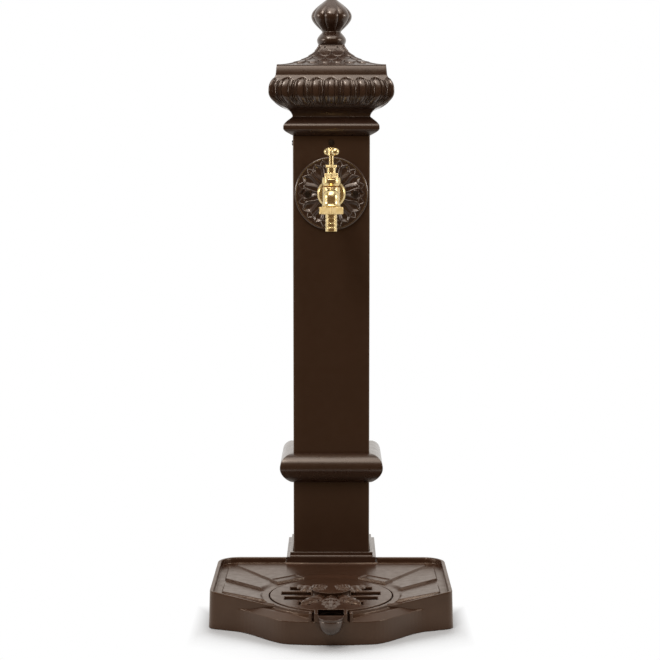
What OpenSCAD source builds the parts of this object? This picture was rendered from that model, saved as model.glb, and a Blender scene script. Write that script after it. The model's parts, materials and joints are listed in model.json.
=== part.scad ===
// Garden standpipe: a square cast column with a drip tray, a lift-out grate and a brass hose tap.
// Millimetres. The origin is on the ground under the column's axis, +Z is up and the tap faces -Y.

/* [Column] */
// Outside width of the square column
column_w = 110; // [100:1:120]
// Wall of the column tube
column_wall = 4; // [3:0.5:6]
// Length of the column tube
column_len = 640.5; // [560:0.5:720]
// Height of the collar's bottom edge above the ground
collar_z = 163.5; // [110:0.5:300]
// Height of the collar
collar_h = 42.7; // [30:0.1:60]
// How far the collar stands out from the column
collar_out = 19.4; // [12:0.1:30]

/* [Foot] */
// Outside width of the square foot
foot_w = 130; // [126:1:140]
// Height of the foot's straight block
foot_block_h = 55; // [48:0.5:70]
// Height of the stepped moulding on the block
foot_step_h = 6; // [4:0.5:12]
// Thickness of the foot's base plate
foot_plate_t = 6; // [4:0.5:10]
// Height of the ledge that the column stands on
foot_ledge_z = 24; // [20:0.5:30]
// Width of the ledge inside the column's outline
foot_ledge_w = 7; // [5:0.5:9]

/* [Tray] */
// Width of the tray
tray_w = 328; // [312:1:360]
// Distance of the tray's back edge in front of the column axis
tray_back = 50; // [42:0.1:54]
// Radius of the back corners
tray_back_r = 30; // [20:1:40]
// Radius of the front corners
tray_corner_r = 12; // [9:0.5:20]
// Angle of the front edges to the width
tray_front_angle = 21.5; // [15:0.5:28]
// Height of the raised rim
rim_z = 51.5; // [50:0.5:60]
// Width of the raised rim
rim_w = 5; // [4:0.5:9]
// Height of the deck where it meets the grate
deck_z = 42.5; // [40:0.5:46]
// Rise of the dished deck for each millimetre away from the grate
deck_slope = 0.05; // [0.03:0.005:0.07]
// Wall of the tray casting
tray_wall = 5; // [4:0.5:7]
// Height of the lower front bulge
bulge_z = 31; // [24:0.5:33]
// How far the lower bulge stands out in front of the drum around the grate
bulge_reach = 4.3; // [2.5:0.1:8]
// Half width at which the bulge leaves the front edge
bulge_start = 126; // [120:1:132]
// Half width of the bulge's flat front
bulge_flat = 54; // [46:1:62]

/* [Grate] */
// Distance of the grate's centre in front of the column axis
grate_y = 234; // [230:1:236]
// Radius of the grate
grate_r = 82.5; // [78:0.5:83]
// Thickness of the grate
grate_t = 5; // [4:0.5:7]
// Gap around the grate
grate_gap = 1.5; // [1:0.1:2.5]
// Wall around the grate's recess
drum_wall = 6; // [5:0.5:8]
// Width of the ledge under the grate
grate_ledge = 5; // [4:0.5:7]
// Height of the floor of the sump
sump_z = 14; // [12:0.5:18]
// Radius of the drain hole
drain_r = 16; // [12:0.5:20]
// Radius of the anchor holes
anchor_r = 5; // [3.5:0.25:6]
// Distance between the anchor holes
anchor_spacing = 110; // [90:1:120]
// Distance between the grate's slots
slot_pitch = 25.5; // [20:0.5:28]
// Width of the grate's slots
slot_w = 17; // [10:0.5:18]
// Radius of the grate's centre boss
boss_r = 28; // [20:0.5:30]
// Height of the grate's centre boss above the grate
boss_h = 9; // [6:0.5:12]
// Radius of the hanging knob
knob_r = 16.25; // [14:0.25:16.75]
// Height of the knob from its flat top to its lowest point
knob_h = 23.25; // [20:0.25:26]
// Half width of the finger gap in the tongue
tongue_gap = 17; // [16:0.25:18]
// Thickness of the tongue's side bars
tongue_bar = 4.5; // [3:0.25:5.5]
// Side clearance between the tongue and its notch
tongue_clear = 3; // [1.5:0.25:4]

/* [Capital] */
// Height of the torus at the capital's foot
torus_h = 27; // [20:0.5:36]
// How far the torus stands out from the column
torus_out = 13.4; // [8:0.1:20]
// Height of the neck
neck_h = 11; // [8:0.5:18]
// Height of the swelling echinus
echinus_h = 44; // [34:0.5:54]
// Width of the echinus
echinus_w = 176; // [160:1:190]
// Height of the plain fascia
fascia_h = 15.5; // [12:0.5:24]
// Width of the fascia at its foot
fascia_w = 157.5; // [150:0.5:158]
// Wall of the capital casting
capital_wall = 6; // [4:0.5:9]
// Length of the spigot that goes into the column
spigot_len = 30; // [22:0.5:45]
// Height of the concave roof
roof_h = 32.5; // [26:0.5:44]
// Width of the roof's flat top
roof_top_w = 36.4; // [30:0.5:42]
// Height of the finial
finial_h = 71.1; // [58:0.1:84]
// Largest radius of the finial's onion
onion_r = 29.3; // [24:0.1:34]
// Radius of the finial's ring
finial_ring_r = 21.1; // [18:0.1:24]
// Radius of the finial's neck
finial_neck_r = 13.4; // [11:0.1:15]
// Radius of the stud in the finial
stud_r = 5; // [4:0.25:6]

/* [Rosette] */
// Radius of the rosette
rosette_r = 52.5; // [46:0.5:54]
// Thickness of the rosette's plate
rosette_t = 3; // [2:0.25:5]
// Height of the rosette's rim and petals above its plate
rosette_relief = 2; // [1:0.25:3]
// Number of petals
petals = 12; // [8:2:16]
// Distance of the rosette's screws from its centre
rosette_screw_r = 34.2; // [30:0.1:38]

/* [Screws] */
// Radius of the screws in capital, rosette and foot
screw_r = 2.5; // [2:0.25:3]
// Radius of the screws' heads
screw_head_r = 4.2; // [3.6:0.1:5]
// Height of the screws' heads
screw_head_h = 2.6; // [2:0.1:3.5]
// Radius of the bolts between tray and foot
bolt_r = 4; // [3:0.25:5]

/* [Tap] */
// Distance of the tap's inlet below the column's top edge
tap_drop = 82.5; // [70:0.5:110]
// Distance of the spindle in front of the column
spindle_reach = 53; // [50:0.5:60]
// Distance of the outlet in front of the spindle
outlet_reach = 32; // [29:0.5:38]
// Radius of the round flange
flange_r = 20.5; // [19:0.25:22]
// Thickness of the round flange
flange_t = 9; // [6:0.5:11]
// Radius of the inlet thread
inlet_r = 10.48; // [10:0.01:11]
// Length of the inlet thread behind the flange
inlet_len = 26; // [22:0.5:30]
// Radius of the tap's neck
tap_neck_r = 12; // [11.5:0.25:12.5]
// Radius of the body under the spindle
body_r = 12.5; // [12:0.25:13.5]
// Radius of the outlet arm
arm_r = 11; // [10.5:0.25:12]
// Radius of the outlet thread
outlet_r = 13.2; // [12.8:0.05:13.6]
// Radius of the water passages
bore_r = 6.5; // [5:0.25:7]
// Radius of the port under the valve
port_r = 4.5; // [4:0.1:5]
// Radius of the bonnet
bonnet_r = 13.25; // [12:0.25:15]
// Height of the bonnet's round part
bonnet_h = 12; // [10:0.5:18]
// Width across the flats of the bonnet's hexagon
bonnet_af = 19; // [17:0.5:22]
// Height of the bonnet's hexagon
bonnet_hex_h = 6; // [4:0.5:9]
// Radius of the bonnet's neck
bonnet_neck_r = 6.4; // [5.2:0.1:6.8]
// Height of the bonnet's neck
bonnet_neck_h = 7.5; // [6:0.5:10]
// Width across the flats of the gland nut
gland_af = 15; // [13:0.5:17]
// Height of the gland nut's hexagon
gland_h = 4; // [3:0.5:8]
// Radius of the spindle where the handle turns it
stem_r = 3.2; // [2.6:0.1:3.4]
// Radius of the spindle's screw
screw_stem_r = 5.2; // [4.6:0.1:5.6]
// Length of bare spindle between gland nut and handle
stem_free = 13; // [9:0.5:22]
// Length of the tee handle between its ball centres
handle_len = 48; // [40:1:60]
// Radius of the handle's balls
handle_ball_r = 5.5; // [4.5:0.1:6.5]
// Angle of the handle away from the viewing direction
handle_angle = 13; // [0:1:45]
// Width across the flats of the union nut
union_af = 33; // [31:0.5:36]
// Height of the union nut
union_h = 9.6; // [9:0.1:12]
// Radius of the hose tail
tail_r = 8.2; // [7.8:0.1:9]
// Length of the hose tail below the nut
tail_len = 24; // [18:0.5:34]
// Number of ridges on the hose tail
tail_ridges = 4; // [3:1:6]

/* [Riser] */
// Distance of the riser pipe in front of the column axis
riser_y = 24; // [22:0.5:26]
// Outside radius of the riser pipe
pipe_r = 7.5; // [7:0.05:7.5]
// Wall of the riser pipe
pipe_wall = 1; // [0.7:0.1:1.2]
// Width across the flats of the compression nuts
comp_af = 24; // [22:0.5:26]
// Height of the compression nuts
comp_h = 12; // [9:0.5:15]
// Height of the inlet's lower end above the ground
inlet_z = 3; // [2:0.5:6]
// Length of the inlet's thread
supply_len = 15; // [12:0.5:18]

/* [Hidden] */
$fn = 64;

iron = [0.18, 0.11, 0.08];
brass = [0.80, 0.62, 0.22];
steel = [0.62, 0.62, 0.60];
copper = [0.72, 0.43, 0.28];
rubber = [0.08, 0.08, 0.08];

// Clearances: a fixed fit, a turning fit, a loose fit and the overlap of a cut past a face
fit = 0.02;
turn_fit = 0.05;
seat_gap = 0.1;
loose = 0.3;
cut = 1;

// Column and foot
column_half = column_w / 2;
column_top = foot_ledge_z + column_len;
column_inner = column_half - column_wall;
foot_half = foot_w / 2;
foot_top = foot_block_h + foot_step_h;
foot_socket_half = column_half + loose;
foot_hollow_half = column_half - foot_ledge_w;
foot_step_in = (foot_half - foot_socket_half) / 2;
supply_hole_r = inlet_r + 8;
collar_lip = 1.2;
grub_r = 3;
grub_len = collar_out - 2;
grub_z = collar_z + collar_h * 0.55;
column_screw_x = column_half * 0.55;
column_screw_z = (foot_ledge_z + foot_block_h) / 2;

// Tray
tray_half = tray_w / 2;
recess_r = grate_r + grate_gap;
drum_r = recess_r + drum_wall;
sump_r = recess_r - grate_ledge;
bulge_front = grate_y + drum_r + bulge_reach;
sump_wall_r = drum_r - tray_wall + 1;
grate_z = deck_z + 1 - grate_t;
shoulder_angle = 33.7;
skirt_run = 8;
skirt_h = deck_z - 2.5 - bulge_z;
deck_under_z = deck_z - 6;
bulge_under_z = bulge_z - tray_wall;
bulge_crown = 4.3;
sump_under_z = sump_z - tray_wall;
ray_ahead = 6.7;
ray_y = -bulge_front - ray_ahead;
pad_rays = [64, 51, 49, 36.5];
pad_h = 2.2;
pad_inner_r = drum_r + 9;
pad_side = 18;
pad_back = 27;
lug_angle = 37;
lug_size = [44, 21];
lug_h = 3;
lug_sink = 1.2;
lug_edge = 3;
lug_r = drum_r + 13;
pocket_half = foot_half + loose;
bolt_x = foot_half * 0.55;
bolt_z = foot_ledge_z - 6;

// Tongue and knob
tongue_half = tongue_gap + tongue_bar;
notch_half = tongue_half + tongue_clear;
cheek_t = 3.5;
tongue_back = grate_y + sqrt(pow(grate_r, 2) - pow(tongue_half, 2)) - 3;
cross_back = bulge_front + 1;
cross_t = 4;
tongue_top = grate_z + grate_t;
tongue_low = bulge_z + 1;
cross_top = tongue_top - 3.3;
finger_cut = 4.5;
knob_top = cross_top;
knob_back = cross_back + cross_t;
knob_ahead = 4;
knob_pin_r = 2.5;
knob_pin_z = (tongue_low + cross_top) / 2;
grate_edge = 14;
slot_start = boss_r - 1;
slot_shift = 6;
boss_foot = 0.78;
leaf_arms = [[40, 0.74], [140, 0.74], [234, 0.8], [306, 0.8], [270, 0.93]];
leaf_w = 17;
leaf_h = 3;

// Capital
spigot_half = column_inner - loose;
neck_half = column_half + 0.5;
neck_z = column_top + torus_h;
echinus_z = neck_z + neck_h;
echinus_half = echinus_w / 2;
echinus_foot = neck_half + 7.4;
echinus_low = echinus_h * 0.55;
torus_low = torus_h * 0.41;
torus_band = torus_h * 0.16;
fascia_z = echinus_z + echinus_h;
fascia_half = fascia_w / 2;
fascia_taper = 1.5;
roof_z = fascia_z + fascia_h;
roof_half = fascia_half - fascia_taper;
roof_edge = 1;
roof_bend = 3.1;
finial_z = roof_z + roof_h;
web_t = 8;
web_z = roof_z - web_t;
bell_z = echinus_z + capital_wall;
bell_half = echinus_at(capital_wall) - 1.5 * capital_wall;
capital_screw_z = column_top - 10;
capital_screw_faces = [0, 270];
finial_nut_h = 8;
finial_washer_t = 2;
stud_low = web_z - finial_washer_t - finial_nut_h - 4;
stud_top = finial_z + 26;

// Rosette
tap_z = column_top - tap_drop;
column_front = -column_half;
rosette_front = column_front - rosette_t;
rosette_rim_w = 3;
rosette_hub_r = flange_r + loose;

// Tap
flange_washer_t = 1.5;
flange_back = rosette_front - flange_washer_t;
flange_front = flange_back - flange_t;
inlet_end = flange_back + inlet_len;
spindle_y = column_front - spindle_reach;
outlet_y = spindle_y - outlet_reach;
flange_edge = 3;
body_low_z = tap_z - 11;
seat_z = tap_z - 4;
seat_ring_r = port_r + 2;
seat_ring_h = 1.5;
chamber_r = 8.5;
arm_z = tap_z - 3.5;
barrel_r = arm_r + 0.6;
arm_bore_r = 5;
arm_bore_z = seat_z + arm_bore_r + loose;
bonnet_seat_z = tap_z + 10;
bonnet_washer_t = 1.5;
bonnet_z = bonnet_seat_z + bonnet_washer_t;
bonnet_screw_len = 8;
bonnet_hex_z = bonnet_z + bonnet_h;
bonnet_neck_z = bonnet_hex_z + bonnet_hex_h;
gland_z = bonnet_neck_z + bonnet_neck_h;
gland_top = gland_z + gland_h;
packing_r = stem_r + 1;
packing_z = bonnet_hex_z;
packing_h = bonnet_hex_h + 1;
packing_floor = packing_z - 2;
handle_z = gland_top + stem_free + handle_ball_r;
handle_bar_r = handle_ball_r * 0.65;
hub_r = stem_r + 2.2;

// Valve on the seat
valve_travel = 4.5;
washer_r = port_r + 1.6;
plate_r = washer_r + 0.3;
washer_t = 2.5;
washer_z = seat_z + seat_gap;
plate_t = 2;
plate_z = washer_z + washer_t;
valve_pin_r = 1.5;
valve_nut_h = 2.2;
jumper_r = 2.9;
jumper_top = plate_z + plate_t + 13;
spindle_low = plate_z + plate_t + seat_gap;
plate_room_z = plate_z + plate_t + valve_travel + 0.5;
spindle_screw_top = packing_floor - valve_travel - 1;

// Outlet coupling
thread_top = arm_z - 11.5;
nut_top = thread_top - 1.8;
nut_low = nut_top - union_h;
nut_lip = 2;
tail_flange_t = 1.5;
tail_washer_t = 1.5;
tail_flange_z = nut_low + nut_lip + seat_gap;
tail_washer_z = tail_flange_z + tail_flange_t;
thread_low = tail_washer_z + tail_washer_t + seat_gap;
tail_flange_r = outlet_r - 0.6;
tail_groove = 0.8;

// Riser
elbow_mouth = column_front + column_wall;
elbow_r = inlet_r + 3.6;
elbow_leg_r = pipe_r + 3.5;
elbow_low = tap_z - 32;
pipe_stop = 18;
hex_h = 8;
inlet_hex_z = inlet_z + supply_len;
inlet_body_z = inlet_hex_z + hex_h;
inlet_body_h = 10;
inlet_top = inlet_body_z + inlet_body_h;
pipe_low = inlet_body_z - 2;

// Width across the corners of a hexagon, from its width across the flats
function hex_d(af) = af / cos(30);

// Points of an arc
function arc(cx, cy, r, a0, a1, n) =
    [for (i = [0:n]) [cx + r * cos(a0 + (a1 - a0) * i / n), cy + r * sin(a0 + (a1 - a0) * i / n)]];

// The same points on the other side of the middle, in reverse order, without those on the middle
function other_side(pts) = [for (i = [len(pts) - 1:-1:0]) if (pts[i][0] > 0) [-pts[i][0], pts[i][1]]];

// A step that starts and ends level
function smooth(t) = t * t * (3 - 2 * t);

// Shoulder where the tray's front edge meets the drum around the grate
function shoulder(inset) =
    [(drum_r - inset) * cos(shoulder_angle), -grate_y - (drum_r - inset) * sin(shoulder_angle)];

// Middle of the front corner's rounding
function corner_y(inset) = shoulder(inset)[1] + (sin(tray_front_angle)
    * (tray_half - tray_corner_r - shoulder(inset)[0]) + tray_corner_r - inset) / cos(tray_front_angle);

// Rounding of the right back corner, from the back edge to the side
function back_corner(inset) =
    arc(tray_half - tray_back_r, -tray_back - tray_back_r, tray_back_r - inset, 90, 0, 8);

// Right half of the tray's outline, from the back edge to the front of the drum
function deck_half(inset) = concat(
    back_corner(inset),
    arc(tray_half - tray_corner_r, corner_y(inset), tray_corner_r - inset, 0, tray_front_angle - 90, 6),
    arc(0, -grate_y, drum_r - inset, -shoulder_angle, -90, 10));

// Depth of the tray's front edge at a given half width
function front_edge(x) = shoulder(0)[1] + (x - shoulder(0)[0]) * tan(tray_front_angle);

// A curve between two heights that starts and ends with given rises over its run
function blend(t, start, end, start_rise, end_rise) =
    start + (end - start) * smooth(t) + t * (1 - t) * ((1 - t) * start_rise - t * end_rise);

// Depth of the bulge's front at a given half width: a shallow arch that runs out into the front edge
function bulge_y(x) = let (run = bulge_start - bulge_flat) x < bulge_flat
    ? -bulge_front + bulge_crown * pow(x / bulge_flat, 2)
    : blend((x - bulge_flat) / run, -bulge_front + bulge_crown, front_edge(bulge_start),
        2 * bulge_crown / bulge_flat * run, tan(tray_front_angle) * run);

// Right half of the bulge's outline
function bulge_half(inset) = concat(
    [[bulge_start - inset, -grate_y]],
    [for (i = [14:-1:0]) let (x = bulge_flat + (bulge_start - bulge_flat) * i / 14)
        [min(x, bulge_start - inset), bulge_y(x) + inset]],
    [for (i = [7:-1:0]) [bulge_flat * i / 8, bulge_y(bulge_flat * i / 8) + inset]]);

// Half width of the echinus at a height above its foot, up to its widest place
function echinus_at(h) = echinus_half - (echinus_half - echinus_foot) * pow(1 - h / echinus_low, 2.45);

// Outlines of mouldings: half width and height, bottom to top
function torus_profile() = concat(
    [for (i = [0:6]) [column_half + torus_out * sin(15 * i), torus_low * i / 6]],
    [for (i = [0:8]) let (t = i / 8, foot = torus_low + torus_band)
        [neck_half + (column_half + torus_out - neck_half) * pow(cos(90 * t), 1.5), foot + (torus_h - foot) * t]]);
function neck_profile() =
    [for (i = [1:6]) [neck_half + (echinus_foot - neck_half) * pow(i / 6, 1.8), torus_h + neck_h * i / 6]];
function echinus_profile() = let (foot = torus_h + neck_h) concat(
    [for (i = [1:10]) [echinus_at(echinus_low * i / 10), foot + echinus_low * i / 10]],
    [for (i = [1:7]) [echinus_half - (echinus_half - fascia_half) * pow(i / 7, 2.5),
        foot + echinus_low + (echinus_h - echinus_low) * i / 7]]);
function fascia_profile() =
    [[fascia_half - fascia_taper, roof_z - column_top]];
function capital_profile() =
    concat(torus_profile(), neck_profile(), echinus_profile(), fascia_profile());
function collar_profile() = [for (i = [0:14]) let (t = i / 14, mid = 0.55)
    [column_half + collar_lip + (collar_out - collar_lip) * (t < mid ? pow(cos(90 * (mid - t) / mid), 0.7)
        : sqrt(max(0, 1 - pow((t - mid) / (1 - mid), 2)))), collar_h * t]];
function roof_profile() = let (top = roof_top_w / 2, out = roof_half - roof_edge)
    concat([[out, 0]], [for (i = [0:12]) let (a = 90 * i / 12)
    [top + (out - top) * pow(cos(a), roof_bend), roof_edge + (roof_h - roof_edge) * pow(sin(a), roof_bend)]]);

// Right half of the finial's outline, from its foot to its tip
function finial_profile() = let (belly = finial_h * 0.105, neck = finial_h * 0.275, wide = finial_h * 0.585)
    concat(
    [[0, 0]],
    [for (i = [0:4]) [roof_top_w / 2 + (finial_ring_r - roof_top_w / 2) * sin(22.5 * i), belly * i / 4]],
    [for (i = [1:6]) [finial_neck_r + (finial_ring_r - finial_neck_r) * pow(cos(15 * i), 1.2),
        belly + (neck - belly) * i / 6]],
    [for (i = [1:8]) [finial_neck_r + (onion_r - finial_neck_r) * pow(sin(90 * i / 8), 1.15),
        neck + (wide - neck) * i / 8]],
    [for (i = [1:10]) [1.5 + (onion_r - 1.5) * pow(cos(84 * i / 10), 1.35), wide + (finial_h - wide) * i / 10]],
    [[0, finial_h]]);

// A moulding that runs round a square and is mitred at its corners
module square_moulding(profile) {
    outline = concat(profile, other_side(profile));
    length = 4 * column_w;
    intersection() {
        rotate([90, 0, 0])
            linear_extrude(height = length, center = true)
                polygon(outline);
        rotate([90, 0, 90])
            linear_extrude(height = length, center = true)
                polygon(outline);
    }
}

// A square block that stands on a given height
module square_block(half, z, height) {
    translate([-half, -half, z])
        cube([2 * half, 2 * half, height]);
}

// A hexagonal prism with two flats facing left and right
module hex_prism(af, height) {
    rotate(30)
        cylinder(h = height, d = hex_d(af), $fn = 6);
}

// A cylinder that runs from a depth towards the viewer
module along_depth(y, z, length, r) {
    translate([0, y, z])
        rotate([90, 0, 0])
            cylinder(h = length, r = r);
}

// A pan head screw: the head stands on the face and the shank goes down
module pan_screw(length) {
    difference() {
        union() {
            cylinder(h = screw_head_h, r1 = screw_head_r, r2 = screw_head_r * 0.8);
            translate([0, 0, -length])
                cylinder(h = length + cut, r = screw_r);
        }
        translate([-screw_head_r - cut, -0.5, screw_head_h * 0.55])
            cube([2 * screw_head_r + 2 * cut, 1, screw_head_h]);
    }
}

// Places on the four faces of the column, with the child's top facing out
module on_faces(angles, x, y, z) {
    for (a = angles)
        rotate(a)
            translate([x, -y, z])
                rotate([90, 0, 0])
                    children();
}

// A clearance hole that goes down from a face
module screw_hole(depth) {
    translate([0, 0, -depth])
        cylinder(h = depth + cut, r = screw_r + fit);
}

// The stepped cast foot that carries the column
module foot() {
    color(iron)
        difference() {
            union() {
                square_block(foot_half, 0, foot_block_h);
                square_block(foot_half - foot_step_in, foot_block_h - cut, foot_step_h + cut);
            }
            square_block(foot_socket_half, foot_ledge_z, foot_top);
            square_block(foot_hollow_half, foot_plate_t, foot_top);
            translate([0, -riser_y, -cut])
                cylinder(h = foot_plate_t + 2 * cut, r = supply_hole_r);
            for (side = [-1, 1])
                on_faces([180], side * column_screw_x, foot_half, column_screw_z)
                    screw_hole(foot_half - foot_socket_half + cut);
            for (side = [-1, 1])
                translate([side * bolt_x, 0, 0])
                    along_depth(-foot_hollow_half + cut, bolt_z, foot_half, bolt_r + fit);
        }
}

// The square column tube
module column() {
    color(iron)
        difference() {
            square_block(column_half, foot_ledge_z, column_len);
            square_block(column_inner, foot_ledge_z - cut, column_len + 2 * cut);
            along_depth(-column_inner + cut, tap_z, column_wall + 2 * cut, inlet_r + loose);
            for (side = [-1, 1])
                on_faces([180], side * column_screw_x, column_half, column_screw_z)
                    screw_hole(column_wall + cut);
            on_faces(capital_screw_faces, 0, column_half, capital_screw_z)
                screw_hole(column_wall + cut);
            for (side = [-1, 1])
                on_faces([0], side * rosette_screw_r, column_half, tap_z)
                    screw_hole(column_wall + cut);
        }
}

// The moulded collar that slides over the column
module column_collar() {
    color(iron)
        difference() {
            translate([0, 0, collar_z])
                square_moulding(collar_profile());
            square_block(column_half + loose, collar_z - cut, collar_h + 2 * cut);
            for (side = [-1, 1])
                on_faces([180], side * column_screw_x, column_half + collar_out, grub_z)
                    translate([0, 0, -collar_out])
                        cylinder(h = collar_out + cut, r = grub_r + fit);
        }
}

// The two grub screws at the back of the collar
module collar_screws() {
    color(steel)
        for (side = [-1, 1])
            on_faces([180], side * column_screw_x, column_half, grub_z)
                difference() {
                    cylinder(h = grub_len, r = grub_r);
                    translate([0, 0, grub_len - grub_r])
                        cylinder(h = grub_r + cut, r = grub_r * 0.6, $fn = 6);
                }
}

// The two screws that hold the column in the foot
module column_screws() {
    color(steel)
        for (side = [-1, 1])
            on_faces([180], side * column_screw_x, foot_half, column_screw_z)
                pan_screw(foot_half - column_inner);
}

// Plan of the tray, drawn in from its edge by an inset
module tray_plan(inset) {
    half = deck_half(inset);
    polygon(concat(half, other_side(half)));
}

// Plan of the lower front bulge
module bulge_plan(inset) {
    half = bulge_half(inset);
    polygon(concat(half, other_side(half)));
}

// Space above the dished deck, inside the rim and open to the front
module dish_space(lift) {
    half = concat(back_corner(rim_w), [[tray_half - rim_w, -2 * bulge_front]]);
    height = rim_z;
    intersection() {
        linear_extrude(height = 2 * rim_z)
            polygon(concat(half, other_side(half)));
        translate([0, -grate_y, deck_z + lift])
            cylinder(h = height, r1 = recess_r, r2 = recess_r + height / deck_slope);
    }
}

// Plan of the two fanned pads on one side
module pad_plan() {
    reach = 2 * tray_w;
    difference() {
        intersection() {
            union()
                for (i = [0, 2])
                    polygon([
                        [0, ray_y],
                        [reach * cos(pad_rays[i]), ray_y + reach * sin(pad_rays[i])],
                        [reach * cos(pad_rays[i + 1]), ray_y + reach * sin(pad_rays[i + 1])]
                    ]);
            translate([0, -bulge_front])
                square([tray_half - pad_side, bulge_front - tray_back - pad_back]);
        }
        translate([0, -grate_y])
            circle(r = pad_inner_r);
    }
}

// The raised pads of the deck
module deck_pads() {
    difference() {
        translate([0, 0, deck_under_z + cut])
            linear_extrude(height = rim_z)
                for (side = [0, 1])
                    mirror([side, 0])
                        pad_plan();
        dish_space(pad_h);
    }
}

// The two small sunk lugs behind the grate
module deck_lugs() {
    top = deck_z + deck_slope * (lug_r - recess_r) + lug_h;
    low = deck_under_z + cut;
    for (side = [-1, 1])
        translate([0, -grate_y, 0])
            rotate(-side * lug_angle)
                translate([0, lug_r, 0])
                    difference() {
                        translate([-lug_size[0] / 2, -lug_size[1] / 2, low])
                            cube([lug_size[0], lug_size[1], top - low]);
                        translate([-lug_size[0] / 2 + lug_edge, -lug_size[1] / 2 + lug_edge, top - lug_sink])
                            cube([lug_size[0] - 2 * lug_edge, lug_size[1] - 2 * lug_edge, lug_h]);
                    }
}

// The hollow under the tray, around the sump and the foot's pocket
module tray_underside() {
    difference() {
        union() {
            translate([0, 0, -cut])
                linear_extrude(height = deck_under_z + cut)
                    tray_plan(tray_wall);
            translate([0, 0, -cut])
                linear_extrude(height = bulge_under_z + cut)
                    bulge_plan(tray_wall);
        }
        translate([0, -grate_y, sump_under_z])
            cylinder(h = deck_z, r = sump_wall_r);
        square_block(pocket_half + tray_wall, -2 * cut, deck_z);
    }
}

// The notch that the grate's tongue hangs in
module tongue_notch() {
    back = grate_y + sqrt(pow(sump_r, 2) - pow(notch_half, 2)) - cut;
    translate([-notch_half, -2 * bulge_front, bulge_z])
        cube([2 * notch_half, 2 * bulge_front - back, rim_z]);
}

// The thin cheeks on both sides of the notch
module notch_cheeks() {
    back = grate_y + recess_r;
    front = bulge_front - cut;
    for (side = [0, 1])
        mirror([side, 0, 0])
            translate([notch_half, -front, bulge_z - cut])
                cube([cheek_t, front - back + drum_wall, deck_z - bulge_z + cut]);
}

// The drip tray casting
module drip_tray() {
    color(iron)
        difference() {
            union() {
                difference() {
                    union() {
                        linear_extrude(height = rim_z)
                            tray_plan(0);
                        linear_extrude(height = bulge_z)
                            bulge_plan(0);
                        intersection() {
                            translate([0, -grate_y, bulge_z - cut])
                                cylinder(h = skirt_h + cut, r1 = drum_r + skirt_run, r2 = drum_r - cut);
                            linear_extrude(height = rim_z)
                                bulge_plan(0);
                        }
                    }
                    dish_space(0);
                    tray_underside();
                }
                deck_pads();
                deck_lugs();
                notch_cheeks();
            }
            translate([0, -grate_y, sump_z])
                cylinder(h = rim_z, r = sump_r);
            translate([0, -grate_y, grate_z - seat_gap])
                cylinder(h = rim_z, r = recess_r);
            translate([0, -grate_y, 0])
                cylinder(h = rim_z, r = drain_r);
            for (side = [-1, 1])
                translate([side * anchor_spacing / 2, -grate_y, 0])
                    cylinder(h = rim_z, r = anchor_r);
            tongue_notch();
            square_block(pocket_half, -cut, rim_z + 2 * cut);
            for (side = [-1, 1])
                translate([side * bolt_x, 0, 0])
                    along_depth(0, bolt_z, foot_w, bolt_r + fit);
        }
}

// The two hexagon bolts that hold the tray to the foot
module tray_bolts() {
    head_face = -pocket_half - tray_wall;
    color(steel)
        for (side = [-1, 1])
            translate([side * bolt_x, 0, 0]) {
                along_depth(-foot_hollow_half, bolt_z, -head_face - foot_hollow_half + cut, bolt_r);
                translate([0, head_face, bolt_z])
                    rotate([90, 0, 0])
                        hex_prism(bolt_r * 3.25, bolt_r * 1.3);
            }
}

// A pointed leaf between two radii, lying along +X
module leaf(r0, r1, width) {
    half = (r1 - r0) / 2;
    r = (half * half + width * width / 4) / width;
    translate([(r0 + r1) / 2, 0])
        intersection() {
            translate([0, r - width / 2])
                circle(r = r);
            translate([0, width / 2 - r])
                circle(r = r);
        }
}

// The slots of the grate on both sides of its boss
module grate_slots() {
    reach = grate_r - grate_edge;
    for (row = [-2:1])
        for (side = [-1, 1])
            let (y = row * slot_pitch + slot_shift, end = sqrt(reach * reach - pow(abs(y) + slot_w / 2, 2)))
            translate([side > 0 ? slot_start : -end, y - slot_w / 2, -cut])
                cube([end - slot_start, slot_w, grate_t + 2 * cut]);
}

// The round grate with its boss, leaf arms and two-bar tongue
module drain_grate() {
    color(iron)
        difference() {
            union() {
                translate([0, -grate_y, grate_z])
                    difference() {
                        cylinder(h = grate_t, r = grate_r);
                        grate_slots();
                    }
                translate([0, -grate_y, tongue_top - cut]) {
                    cylinder(h = boss_h + cut, r1 = boss_r * boss_foot, r2 = boss_r);
                    linear_extrude(height = leaf_h + cut)
                        for (arm = leaf_arms)
                            rotate(arm[0])
                                leaf(boss_r * 0.4, grate_r * arm[1], leaf_w);
                }
                for (side = [0, 1])
                    mirror([side, 0, 0])
                        translate([tongue_gap, -cross_back - cross_t, tongue_low])
                            cube([tongue_bar, cross_back + cross_t - tongue_back, tongue_top - tongue_low]);
                translate([-tongue_half, -cross_back - cross_t, tongue_low])
                    cube([2 * tongue_half, cross_t, cross_top - tongue_low]);
            }
            translate([-tongue_gap, -cross_back, grate_z - cut])
                cube([2 * tongue_gap, cross_back - grate_y - grate_r + finger_cut, grate_t + 2 * cut]);
            along_depth(cut - cross_back, knob_pin_z, cross_t + 2 * cut, knob_pin_r + fit);
        }
}

// The round knob in front of the tongue's crossbar, with the pin that goes through the bar
module grate_knob() {
    color(iron) {
        difference() {
            translate([0, -knob_back - knob_ahead, knob_top - knob_h + knob_r]) {
                sphere(r = knob_r);
                cylinder(h = knob_h - knob_r, r = knob_r);
            }
            translate([-2 * knob_r, -knob_back, knob_top - 2 * knob_h])
                cube([4 * knob_r, 2 * knob_r, 4 * knob_h]);
            translate([-2 * knob_r, -knob_back - 4 * knob_r, knob_top])
                cube([4 * knob_r, 4 * knob_r + cut, 2 * knob_h]);
        }
        along_depth(-cross_back, knob_pin_z, cross_t + knob_ahead, knob_pin_r);
    }
}

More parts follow.
